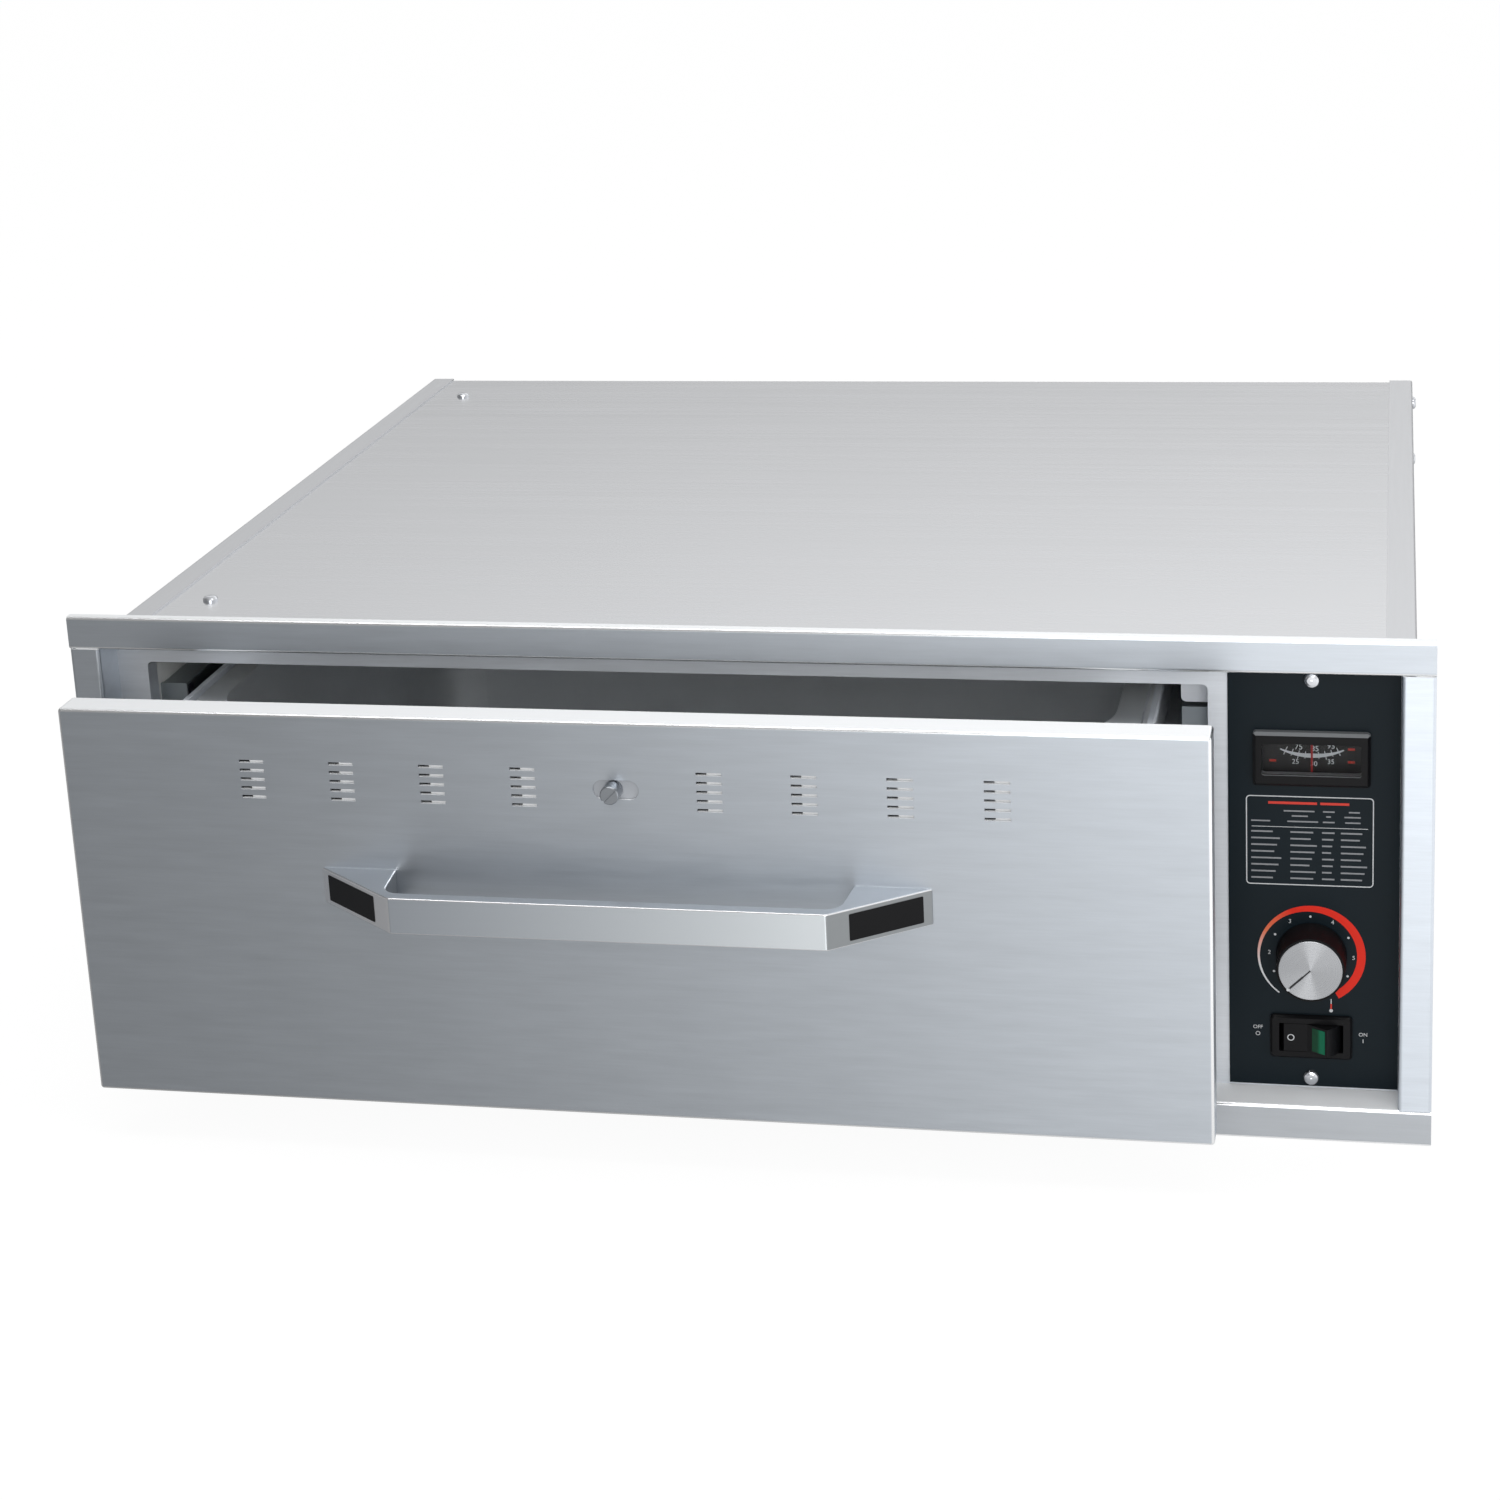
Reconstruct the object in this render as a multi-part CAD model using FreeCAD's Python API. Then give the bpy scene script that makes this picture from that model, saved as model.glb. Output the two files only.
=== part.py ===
import FreeCAD
import Part
import math
import os

# Built-in warming drawer, in millimetres.
# +Z is up, +X is to the viewer's right and +Y points to the back.
# The pieces are drawn with the trim frame's front face at y = 0 and its lower edge at z = 0.
# At the end they all move forward by origin_y, which puts the origin at the middle of the base.
# The drawer is drawn pulled out by photo_opening, as it stands in the photograph.

# Depth of the cabinet behind the trim's front face
body_depth = 577.0

# Sheet thicknesses and bends
trim_sheet = 1.2
body_sheet = 1.0
liner_sheet = 0.8
track_sheet = 1.5
bend_radius = 0.9

# Trim frame around the front
rail_top = 19.0
rail_bottom = 20.5
stile_width = 17.5
trim_lip = 5.5
recess_depth = 23.0

# Cabinet behind the trim
body_inset_left = 30.0
body_inset_right = 10.0
body_top_drop = 2.0
seam_flange = 15.5
panel_flange = 13.0
bend_room = 1.0

# Drawer opening in the recessed face panel
opening_margin_left = 17.7
opening_height = 216.6
opening_drop = 14.4
opening_sill = 13.5
opening_corner = 3.0
opening_flange = 12.0
divider_strip = 10.4
control_bay_width = 89.9

# Warm cavity and its insulation
cavity_rear_gap = 43.0
partition_gap = 7.0
hanger_width = 16.0
hanger_front = 32.0

# Drawer position and travel
photo_opening = 73.5
front_gap_closed = 0.5

# Drawer front
front_thickness = 18.0
front_overlap_left = 12.6
front_overlap_right = 7.5
front_overlap_top = 4.4
front_overlap_bottom = 3.4
front_edge = 2.0
plate_clearance = 0.3

# Vent slots and damper
vent_pitch = 50.0
vents_per_side = 4
slots_per_vent = 5
slot_pitch = 5.0
slot_length = 13.6
slot_height = 1.7
vent_drop = 37.1
damper_sheet = 1.0
damper_gap = 0.35
damper_share_open = 0.4
damper_knob_diameter = 10.0
damper_knob_proud = 9.0
damper_slot_height = 10.7
damper_end_clearance = 0.6

# Handle
handle_length = 331.8
handle_flat = 233.0
handle_depth = 38.0
handle_height = 20.0
handle_bar = 7.5
handle_shoulder = 7.4
handle_screw_inset = 24.0
handle_centre_height = 128.2
handle_label_length = 43.0
handle_label_height = 14.6
handle_label_end = 6.5
handle_label_sheet = 0.9
handle_label_recess = 0.7

# Food pan
pan_width = 528.0
pan_length = 400.0
pan_depth = 150.0
pan_rim = 13.0
pan_sheet = 1.0
pan_corner = 45.0
pan_taper = 7.0
pan_floor_radius = 12.0
pan_rim_lip = 4.0
pan_behind_front = 20.0
pan_rim_drop = 16.6
pan_side_room = 34.0

# Drawer runners
runner_past_pan = 20.0
runner_web_gap = 5.2
runner_sheet = 1.8
runner_hem = 3.6
runner_height = 37.0
runner_flange = 11.0
runner_above_rim = 1.0
frame_sheet = 1.2
frame_flange = 20.0

# Cabinet tracks and rollers
track_width = 16.0
track_height = 30.0
track_front = 40.0
track_rear_gap = 32.0
track_top_drop = 2.0
rear_roller_diameter = 26.2
rear_roller_width = 10.0
rear_roller_from_end = 15.0
front_roller_diameter = 22.0
front_roller_width = 8.5
front_roller_y = 58.0
roller_contact_gap = 0.3
roller_bore_clearance = 0.06
roller_pin_diameter = 6.0
roller_pin_shoulder = 10.0
roller_side_gap = 0.25
front_roller_from_track = 1.9
rear_roller_from_track = 2.2
rivet_inset = 35.0
rivet_diameter = 4.0
rivet_head = 7.2

# Control panel
panel_sheet = 1.5
panel_edge_gap = 0.2
panel_bottom_gap = 1.5
panel_screw_rise = 6.8
panel_screw_drop = 9.9
panel_centre_offset = -1.2

# Thermometer
thermo_width = 61.2
thermo_height = 30.0
thermo_proud = 5.0
thermo_drop = 53.2
thermo_window_width = 52.0
thermo_window_height = 17.7
thermo_pivot_height = 32.5
thermo_case_depth = 18.0
thermo_pointer_length = 42.0
thermo_pointer_tail = 4.0
thermo_spindle = 2.0

# Thermostat and its knob
thermostat_rise = 78.5
thermostat_shaft = 6.35
thermostat_bush = 10.0
thermostat_box = 46.0
thermostat_depth = 30.0
knob_base_diameter = 37.6
knob_face_diameter = 36.0
knob_proud = 20.0
knob_gap = 0.6
knob_pointer_angle = -134.0

# Rocker switch
switch_rise = 31.2
switch_width = 43.7
switch_height = 24.8
switch_proud = 3.0
switch_open_width = 34.1
switch_open_height = 16.5
switch_body_depth = 30.0
switch_wall = 1.2
rocker_half = 12.0
rocker_tip = 11.0
rocker_angle = 15.5
rocker_side_gap = 0.25
rocker_pin = 3.0
rocker_pivot_depth = 7.4
switch_lens_width = 7.9

# Heating element
element_diameter = 8.0
element_pitch = 90.0
element_first_y = 120.0
element_runs = 4
element_height = 22.0
element_side_gap = 16.0
element_exit = 14.0
element_hole_gap = 0.3
support_inset = 104.0
support_sheet = 1.5
support_width = 16.0
support_overhang = 25.0
support_foot = 14.0

# Sensing bulbs and their guard
bulb_diameter = 5.0
bulb_length = 95.0
bulb_wall_gap = 3.0
bulb_front = 62.0
bulb_above_track = 9.0
bulb_spacing = 6.5
capillary_diameter = 1.6
capillary_bend = 5.0
capillary_lead = 12.0
guard_front = 42.0
guard_depth = 15.6
guard_sheet = 0.9
guard_past_bulbs = 8.0
guard_above_track = 3.0

# Back of the cabinet
bushing_height = 46.0
bushing_offset = 6.0
bushing_hole = 22.0
bushing_bore = 11.0
bushing_flange = 4.0
rear_slot_length = 50.0
rear_slot_height = 4.0
rear_slot_pitch = 11.0
rear_slot_count = 8
rear_slot_first = 110.0

# Screws
screw_head = 8.5
screw_head_height = 2.6
screw_shank = 4.0
hole_clearance = 0.2
side_screw_inset = 7.0
side_screws_from_floor = [14.0, 54.0]
side_screws_from_top = [56.0, 16.0]
top_screw_inset = 68.0
top_screw_front = 44.0
top_screw_back = 50.0

# Places worked out from the sizes above
opening_width = pan_width + 2 * pan_side_room
overall_width = 2 * stile_width + opening_margin_left + opening_width + divider_strip + control_bay_width
overall_height = rail_bottom + opening_sill + opening_height + opening_drop + rail_top
cavity_back = body_depth - cavity_rear_gap
track_length = cavity_back - track_rear_gap - track_front
runner_length = pan_behind_front + pan_length + runner_past_pan
panel_screw_low = rail_bottom + panel_screw_rise
panel_screw_high = overall_height - rail_top - panel_screw_drop
thermo_z = overall_height - rail_top - thermo_drop
thermostat_z = rail_bottom + thermostat_rise
switch_z = rail_bottom + switch_rise
trim_left = -overall_width / 2
trim_right = overall_width / 2
body_left = trim_left + body_inset_left
body_right = trim_right - body_inset_right
body_top = overall_height - body_top_drop
body_front = trim_sheet
sill_front = trim_lip + 0.5
opening_left = trim_left + stile_width + opening_margin_left
opening_right = opening_left + opening_width
opening_top = overall_height - rail_top - opening_drop
opening_bottom = opening_top - opening_height
face_front = recess_depth
face_back = recess_depth + trim_sheet
liner_left = opening_left - trim_sheet
liner_right = opening_right + trim_sheet
liner_top = opening_top + trim_sheet
liner_bottom = opening_bottom - trim_sheet
partition_x = liner_right + liner_sheet + partition_gap
panel_left = opening_right + divider_strip
panel_right = trim_right - stile_width
panel_front = face_front - panel_sheet
panel_x = (panel_left + panel_right) / 2 + panel_centre_offset
front_left = opening_left - front_overlap_left
front_right = opening_right + front_overlap_right
front_bottom = opening_bottom - front_overlap_bottom
front_top = opening_top + front_overlap_top
front_x = (front_left + front_right) / 2
front_back_y = face_front - front_gap_closed - photo_opening
front_y = front_back_y - front_thickness
front_inside_y = front_y + trim_sheet
rim_top = opening_top - pan_rim_drop
rim_bottom = rim_top - pan_sheet
pan_front = front_back_y + pan_behind_front
pan_back = pan_front + pan_length
runner_top = rim_top + runner_above_rim
runner_bottom = runner_top - runner_height
track_top = rim_top - track_top_drop
rear_roller_z = track_top - track_height / 2
rear_roller_y = front_back_y + runner_length - rear_roller_from_end
front_roller_z = runner_bottom - roller_contact_gap - front_roller_diameter / 2
vent_z = front_top - vent_drop
handle_z = front_bottom + handle_centre_height
damper_front = front_inside_y + damper_gap
damper_back = damper_front + damper_sheet
damper_offset = -(1.0 - damper_share_open) * slot_length
thermo_pivot_z = thermo_z + thermo_pivot_height
switch_pivot_y = panel_front - switch_proud + rocker_pivot_depth
element_z = opening_bottom + element_height


# General helpers

def vec(x, y, z):
    """A point or direction."""
    return FreeCAD.Vector(x, y, z)


def box(x0, x1, y0, y1, z0, z1):
    """A block between two corners."""
    return Part.makeBox(x1 - x0, y1 - y0, z1 - z0, vec(x0, y0, z0))


def rod(radius, start, direction, length):
    """A round bar from a start point."""
    return Part.makeCylinder(radius, length, start, direction)


def fuse(shapes):
    """One solid out of touching pieces, with the seams removed."""
    return shapes[0].fuse(shapes[1:]).removeSplitter()


def group(shapes):
    """Separate solids kept together in one node."""
    return Part.makeCompound(shapes)


def mirror_x(shape, middle=0.0):
    """The same piece for the other side of the plane x = middle."""
    return shape.mirror(vec(middle, 0, 0), vec(1, 0, 0))


def outline(points, radii):
    """A closed flat wire through (u, v) points, with an arc of the given radius at each corner."""
    count = len(points)
    corners = []
    for i in range(count):
        before = vec(*points[i - 1], 0)
        corner = vec(*points[i], 0)
        after = vec(*points[(i + 1) % count], 0)
        to_before = (before - corner).normalize()
        to_after = (after - corner).normalize()
        radius = radii[i]
        if radius <= 0:
            corners.append((corner, corner, None))
            continue
        half = to_before.getAngle(to_after) / 2
        reach = radius / math.tan(half)
        middle = (to_before + to_after).normalize()
        bulge = corner + middle * (radius / math.sin(half) - radius)
        corners.append((corner + to_before * reach, corner + to_after * reach, bulge))
    edges = []
    for i in range(count):
        start, end, bulge = corners[i]
        if bulge is not None:
            edges.append(Part.Arc(start, bulge, end).toShape())
        following = corners[(i + 1) % count][0]
        if end.distanceToPoint(following) > 1e-6:
            edges.append(Part.makeLine(end, following))
    return Part.Wire(edges)


def face_of(points, radii=None):
    """A flat face with optional corner radii, one number or one per corner."""
    if radii is None:
        radii = 0.0
    if not isinstance(radii, (list, tuple)):
        radii = [radii] * len(points)
    return Part.Face(outline(points, radii))


def along_z(flat, z0, z1):
    """A face drawn in x and y, made into a solid from z0 to z1."""
    flat = flat.copy()
    flat.translate(vec(0, 0, z0))
    return flat.extrude(vec(0, 0, z1 - z0))


def along_y(flat, y0, y1):
    """A face drawn in x and z, made into a solid from y0 to y1."""
    flat = flat.copy()
    flat.rotate(vec(0, 0, 0), vec(1, 0, 0), 90)
    flat.translate(vec(0, y0, 0))
    return flat.extrude(vec(0, y1 - y0, 0))


def along_x(flat, x0, x1):
    """A face drawn in y and z, made into a solid from x0 to x1."""
    flat = flat.copy()
    flat.rotate(vec(0, 0, 0), vec(1, 1, 1), 120)
    flat.translate(vec(x0, 0, 0))
    return flat.extrude(vec(x1 - x0, 0, 0))


def rectangle(u0, u1, v0, v1):
    """The four corners of a rectangle."""
    return [(u0, v0), (u1, v0), (u1, v1), (u0, v1)]


def bent_strip(path, thickness, bend=bend_radius):
    """The section of a bent sheet: the path is one surface and the metal lies to its left."""
    directions = []
    for start, end in zip(path, path[1:]):
        length = math.hypot(end[0] - start[0], end[1] - start[1])
        directions.append(((end[0] - start[0]) / length, (end[1] - start[1]) / length))
    other = []
    radii = []
    for i, (u, v) in enumerate(path):
        first = directions[max(i - 1, 0)]
        second = directions[min(i, len(directions) - 1)]
        normal_sum = (-first[1] - second[1], first[0] + second[0])
        scale = 2 * thickness / (normal_sum[0] ** 2 + normal_sum[1] ** 2)
        other.append((u + normal_sum[0] * scale, v + normal_sum[1] * scale))
        turn = first[0] * second[1] - first[1] * second[0]
        if abs(turn) < 1e-6:
            radii.append((0.0, 0.0))
        elif turn > 0:
            radii.append((bend + thickness, bend))
        else:
            radii.append((bend, bend + thickness))
    points = list(path) + other[::-1]
    rounds = [pair[0] for pair in radii] + [pair[1] for pair in radii][::-1]
    return face_of(points, rounds)


def pan_head_screw(head_centre, direction, shank_length):
    """A pan-head screw: the head stands out along direction and the shank runs the other way."""
    radius = screw_head / 2
    section = face_of([(0, -shank_length), (screw_shank / 2, -shank_length), (screw_shank / 2, 0), (radius, 0),
                       (radius, screw_head_height * 0.4), (radius * 0.85, screw_head_height * 0.75),
                       (radius * 0.55, screw_head_height * 0.95), (0, screw_head_height)])
    screw = section.revolve(vec(0, 0, 0), vec(0, 1, 0), 360)
    screw.Placement = FreeCAD.Placement(head_centre, FreeCAD.Rotation(vec(0, 1, 0), direction))
    return screw


def screw_holes(screws_at, direction, depth, clearance=hole_clearance):
    """Round holes for screws, cut from each head's seat."""
    radius = screw_shank / 2 + clearance
    return [rod(radius, place + direction * 0.5, direction * -1, depth + 0.5) for place in screws_at]


# Trim frame: four folded stainless members, the rails full width and the stiles between them

def trim_rail(lower, upper, return_on_top):
    """A rail with a short outer lip, a flat face and a deep inner return."""
    if return_on_top:
        path = [(recess_depth, upper), (0, upper), (0, lower), (trim_lip, lower)]
    else:
        path = [(trim_lip, upper), (0, upper), (0, lower), (recess_depth, lower)]
    rail = along_x(bent_strip(path, trim_sheet), trim_left, trim_right)
    ends = [box(x, x + trim_sheet, trim_sheet / 2, trim_lip, lower + trim_sheet / 2, upper - trim_sheet / 2)
            for x in (trim_left, trim_right - trim_sheet)]
    return fuse([rail] + ends)


def trim_stile(outer, inner):
    """The left stile; its inner return runs back to the recessed face panel."""
    path = [(outer, trim_lip), (outer, 0), (inner, 0), (inner, recess_depth)]
    return along_z(bent_strip(path, trim_sheet), rail_bottom, overall_height - rail_top)


trim_top_rail = trim_rail(overall_height - rail_top, overall_height, False)
trim_bottom_rail = trim_rail(0.0, rail_bottom, True)
trim_left_stile = trim_stile(trim_left, trim_left + stile_width)
trim_right_stile = mirror_x(trim_left_stile)

# Recessed face panel with the drawer opening and the cut-out behind the control panel

panel_screw_places = [vec(panel_x, panel_front, z) for z in (panel_screw_low, panel_screw_high)]
cutout_margin = 8.0
control_cutout = along_y(
    face_of(rectangle(panel_left + cutout_margin, panel_right - cutout_margin,
                      panel_screw_low + cutout_margin, panel_screw_high - cutout_margin / 2), 4.0),
    face_front - 1, face_back + 1)


def opening_prism(grow, y0, y1):
    """The drawer opening with rounded corners, widened by grow on every side."""
    corners = rectangle(opening_left - grow, opening_right + grow, opening_bottom - grow, opening_top + grow)
    return along_y(face_of(corners, opening_corner + grow), y0, y1)


def make_face_panel():
    """A flat sheet butted against the trim's inner returns, with a turned-in flange round the opening."""
    plate = box(trim_left + stile_width - trim_sheet, trim_right - stile_width + trim_sheet,
                face_front, face_back, rail_bottom - trim_sheet, overall_height - rail_top + trim_sheet)
    flange = opening_prism(trim_sheet, face_front, face_front + opening_flange)
    panel = fuse([plate, flange]).cut(opening_prism(0.0, face_front - 1, face_front + opening_flange + 1))
    panel = panel.cut(control_cutout)
    return panel.cut(group(screw_holes(panel_screw_places, vec(0, -1, 0), 10.0, 0.0)))


face_panel = make_face_panel()

# Cabinet: two channel-shaped sides, a top and a bottom between their flanges, and a rear panel

side_screw_y = body_depth - body_sheet - side_screw_inset
side_screw_heights = side_screws_from_floor + [overall_height - drop for drop in side_screws_from_top]
side_screws_left = [vec(body_left, side_screw_y, z) for z in side_screw_heights]
side_screws_right = [vec(body_right, side_screw_y, z) for z in side_screw_heights]
top_screw_x = trim_left + top_screw_inset
top_screws = [vec(top_screw_x, y, body_top - body_sheet)
              for y in (top_screw_front, body_depth - top_screw_back)]
panel_notch_gap = 0.5


def make_side_panel():
    """The left side: flanges at top and bottom lap over the top and bottom panels."""
    flange_end = body_left + seam_flange
    path = [(flange_end, body_top), (body_left, body_top), (body_left, 0), (flange_end, 0)]
    panel = along_y(bent_strip(path, body_sheet, 0.6), body_front, body_depth)
    notch_low = rail_bottom - trim_sheet - panel_notch_gap
    notch_high = overall_height - rail_top + trim_sheet + panel_notch_gap
    lip_top = trim_sheet + panel_notch_gap
    face_notch = box(body_left - 1, flange_end + 1, body_front - 1, face_back, notch_low, notch_high)
    lip_notch = box(body_left - 1, flange_end + 1, body_front - 1, sill_front, -1, lip_top)
    return panel.cut(face_notch).cut(lip_notch)


left_side_panel = make_side_panel()
right_side_panel = mirror_x(left_side_panel, (body_left + body_right) / 2)
left_side_panel = left_side_panel.cut(group(screw_holes(side_screws_left, vec(-1, 0, 0), 3.0, 0.0)))
right_side_panel = right_side_panel.cut(group(screw_holes(side_screws_right, vec(1, 0, 0), 3.0, 0.0)))

inner_left = body_left + body_sheet
inner_right = body_right - body_sheet
cover_left = inner_left + bend_room
cover_right = inner_right - bend_room
cover_top = body_top - body_sheet
front_flange = panel_flange - 1.0
top_path = [(body_depth, cover_top - panel_flange), (body_depth, cover_top), (body_front, cover_top),
            (body_front, cover_top - front_flange)]
bottom_path = [(sill_front, body_sheet + front_flange), (sill_front, body_sheet), (body_depth, body_sheet),
               (body_depth, body_sheet + panel_flange)]
top_panel = along_x(bent_strip(top_path, body_sheet), cover_left, cover_right)
top_panel = top_panel.cut(group(screw_holes(top_screws, vec(0, 0, 1), 4.0, 0.0)))
bottom_panel = along_x(bent_strip(bottom_path, body_sheet), cover_left, cover_right)

# Rear panel with cooling slots behind the controls and the hole for the supply bushing
bushing_place = vec(panel_x + bushing_offset, body_depth - body_sheet, bushing_height)
bushing_hole_radius = bushing_hole / 2


def make_rear_panel():
    """A flat back with forward flanges screwed to the sides, inside the top and bottom panels' flanges."""
    outer_y = body_depth - body_sheet
    flange_front = outer_y - panel_flange - 2.0
    path = [(inner_right, flange_front), (inner_right, outer_y), (inner_left, outer_y),
            (inner_left, flange_front)]
    panel = along_z(bent_strip(path, body_sheet),
                    body_sheet * 2 + bend_room, cover_top - body_sheet - bend_room)
    cuts = [rod(bushing_hole_radius, bushing_place - vec(0, 10, 0), vec(0, 1, 0), 20)]
    for i in range(rear_slot_count):
        z = rear_slot_first + i * rear_slot_pitch
        flat = face_of(rectangle(bushing_place.x - rear_slot_length / 2, bushing_place.x + rear_slot_length / 2,
                                 z, z + rear_slot_height), rear_slot_height / 2 - 0.1)
        cuts.append(along_y(flat, outer_y - 5, outer_y + 5))
    holes = screw_holes(side_screws_left, vec(-1, 0, 0), 6.0, 0.0)
    holes += screw_holes(side_screws_right, vec(1, 0, 0), 6.0, 0.0)
    return panel.cut(group(cuts + holes))


rear_panel = make_rear_panel()


def make_cord_bushing():
    """The moulded ring that lines the supply hole, grooved where it grips the rear panel."""
    back = vec(0, 1, 0)
    inside = bushing_place - back * body_sheet
    ring = fuse([
        rod(bushing_hole_radius + 3, bushing_place, back, bushing_flange),
        rod(bushing_hole_radius, inside - back * 8, back, 9.5),
        rod(bushing_hole_radius + 1.5, inside - back * 4, back, 4.0)])
    return ring.cut(rod(bushing_bore / 2, inside - back * 12, back, 24))


cord_bushing = make_cord_bushing()

# Warm cavity: a folded liner seated round the opening's flange

element_places = [element_first_y + i * element_pitch for i in range(element_runs)]
element_exits = (element_places[0], element_places[-1])
thermostat_bulb_z = track_top + bulb_above_track
thermometer_bulb_z = thermostat_bulb_z + bulb_spacing
bulb_x = liner_right - bulb_wall_gap - bulb_diameter / 2
capillary_y = bulb_front - capillary_lead
element_hole_radius = element_diameter / 2 + element_hole_gap


def liner_prism(grow, y0, y1):
    """The cavity's rounded box, widened by grow on every side."""
    flat = face_of(rectangle(liner_left - grow, liner_right + grow, liner_bottom - grow, liner_top + grow),
                   opening_corner + trim_sheet + grow)
    return along_y(flat, y0, y1)


def element_holes(radius, x0, x1):
    """Holes along x where the element's two cold ends leave the cavity."""
    return [rod(radius, vec(x0, y, element_z), vec(1, 0, 0), x1 - x0) for y in element_exits]


def capillary_holes(radius, x0, x1):
    """Holes along x where the two capillary tubes leave the cavity."""
    return [rod(radius, vec(x0, capillary_y, z), vec(1, 0, 0), x1 - x0)
            for z in (thermostat_bulb_z, thermometer_bulb_z)]


track_rivet_places = [track_front + rivet_inset, track_front + track_length / 2,
                      track_front + track_length - rivet_inset]
rivet_radius = rivet_diameter / 2


def rivet_holes(x0, x1):
    """Holes along x for the rivets that hold a track to the liner wall."""
    return [rod(rivet_radius, vec(x0, y, rear_roller_z), vec(1, 0, 0), x1 - x0) for y in track_rivet_places]


def make_liner():
    """Four walls and a back, open at the front."""
    shell = liner_prism(liner_sheet, face_back, cavity_back + liner_sheet)
    shell = shell.cut(liner_prism(0.0, face_back - 1, cavity_back))
    cuts = element_holes(element_hole_radius, liner_right - 5, liner_right + 5)
    cuts += capillary_holes(capillary_diameter / 2 + 0.3, liner_right - 5, liner_right + 5)
    cuts += rivet_holes(liner_left - 5, liner_left + 5)
    cuts += rivet_holes(liner_right - 5, liner_right + 5)
    return shell.cut(group(cuts))


cavity_liner = make_liner()

# Wall between the warm cavity and the control compartment
partition_back = body_depth - body_sheet * 2 - panel_flange - 3
partition = box(partition_x, partition_x + body_sheet, face_back, partition_back,
                body_sheet * 2, cover_top - body_sheet)
partition = partition.cut(group(
    element_holes(element_hole_radius, partition_x - 2, partition_x + 4)
    + capillary_holes(capillary_diameter / 2 + 0.3, partition_x - 2, partition_x + 4)))

# Hanger strip that carries the liner from the top panel, held by the two top screws
hanger_left = top_screw_x - hanger_width / 2
hanger_right = hanger_left + hanger_width
hanger_path = [(hanger_right, cover_top - body_sheet), (hanger_left, cover_top - body_sheet),
               (hanger_left, liner_top + liner_sheet), (hanger_right, liner_top + liner_sheet)]
liner_hanger = along_y(bent_strip(hanger_path, body_sheet), hanger_front, cavity_back)
liner_hanger = liner_hanger.cut(group(screw_holes(top_screws, vec(0, 0, 1), 6.0, 0.0)))

# Insulation blankets between the liner and the cabinet
blanket_left = inner_left + body_sheet + bend_room
blanket_front = face_back
blanket_back = body_depth - body_sheet * 2
hanger_slot = box(hanger_left - 0.5, hanger_right + 0.5, blanket_front - 1, cavity_back + 0.5,
                  liner_top, cover_top)
insulation_top = box(blanket_left, partition_x, blanket_front, blanket_back, liner_top + liner_sheet,
                     cover_top - body_sheet).cut(hanger_slot)
insulation_bottom = box(blanket_left, partition_x, blanket_front, blanket_back, body_sheet * 2,
                        liner_bottom - liner_sheet)
insulation_rear = box(blanket_left, partition_x, cavity_back + liner_sheet, blanket_back,
                      liner_bottom - liner_sheet, liner_top + liner_sheet)
insulation_right = box(liner_right + liner_sheet, partition_x, blanket_front, cavity_back + liner_sheet,
                       liner_bottom - liner_sheet, liner_top + liner_sheet)
insulation_right = insulation_right.cut(group(
    element_holes(element_diameter / 2 + 0.6, liner_right, partition_x + 1)
    + capillary_holes(capillary_diameter / 2 + 0.6, liner_right, partition_x + 1)))
blanket_screw_holes = group(screw_holes(side_screws_left, vec(-1, 0, 0), 8.0))
insulation_top = insulation_top.cut(blanket_screw_holes)
insulation_bottom = insulation_bottom.cut(blanket_screw_holes)
insulation_rear = insulation_rear.cut(blanket_screw_holes)


def make_heating_element():
    """A sheathed element: straight runs along x joined by half turns, both cold ends through the right wall."""
    bend = element_pitch / 2
    turn_room = element_side_gap + element_diameter / 2 + bend
    left_x = liner_left + turn_room
    right_x = liner_right - turn_room
    exit_x = partition_x + element_exit
    edges = []
    for i, y in enumerate(element_places):
        last = i == element_runs - 1
        right_end = exit_x if i == 0 or last else right_x
        left = vec(left_x, y, element_z)
        right = vec(right_end, y, element_z)
        if i % 2 == 0:
            edges.append(Part.makeLine(right, left))
            turn_x, side = left_x, -1
        else:
            edges.append(Part.makeLine(left, right))
            turn_x, side = right_x, 1
        if not last:
            edges.append(Part.Arc(vec(turn_x, y, element_z), vec(turn_x + side * bend, y + bend, element_z),
                                  vec(turn_x, y + element_pitch, element_z)).toShape())
    route = Part.Wire(edges)
    start = vec(exit_x, element_places[0], element_z)
    section = Part.Wire(Part.makeCircle(element_diameter / 2, start, vec(1, 0, 0)))
    return route.makePipeShell([section], True, False)


heating_element = make_heating_element()


def make_element_supports():
    """Two saddle strips on the liner floor that the element lies on."""
    strips = []
    top = element_z - element_diameter / 2
    foot = liner_bottom + support_sheet
    first = element_places[0] - support_overhang
    last = element_places[-1] + support_overhang
    path = [(last + support_foot, foot), (last, foot), (last, top), (first, top), (first, foot),
            (first - support_foot, foot)]
    for x in (liner_left + support_inset, liner_right - support_inset):
        strips.append(along_x(bent_strip(path, support_sheet), x - support_width / 2, x + support_width / 2))
    return group(strips)


element_supports = make_element_supports()


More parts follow.
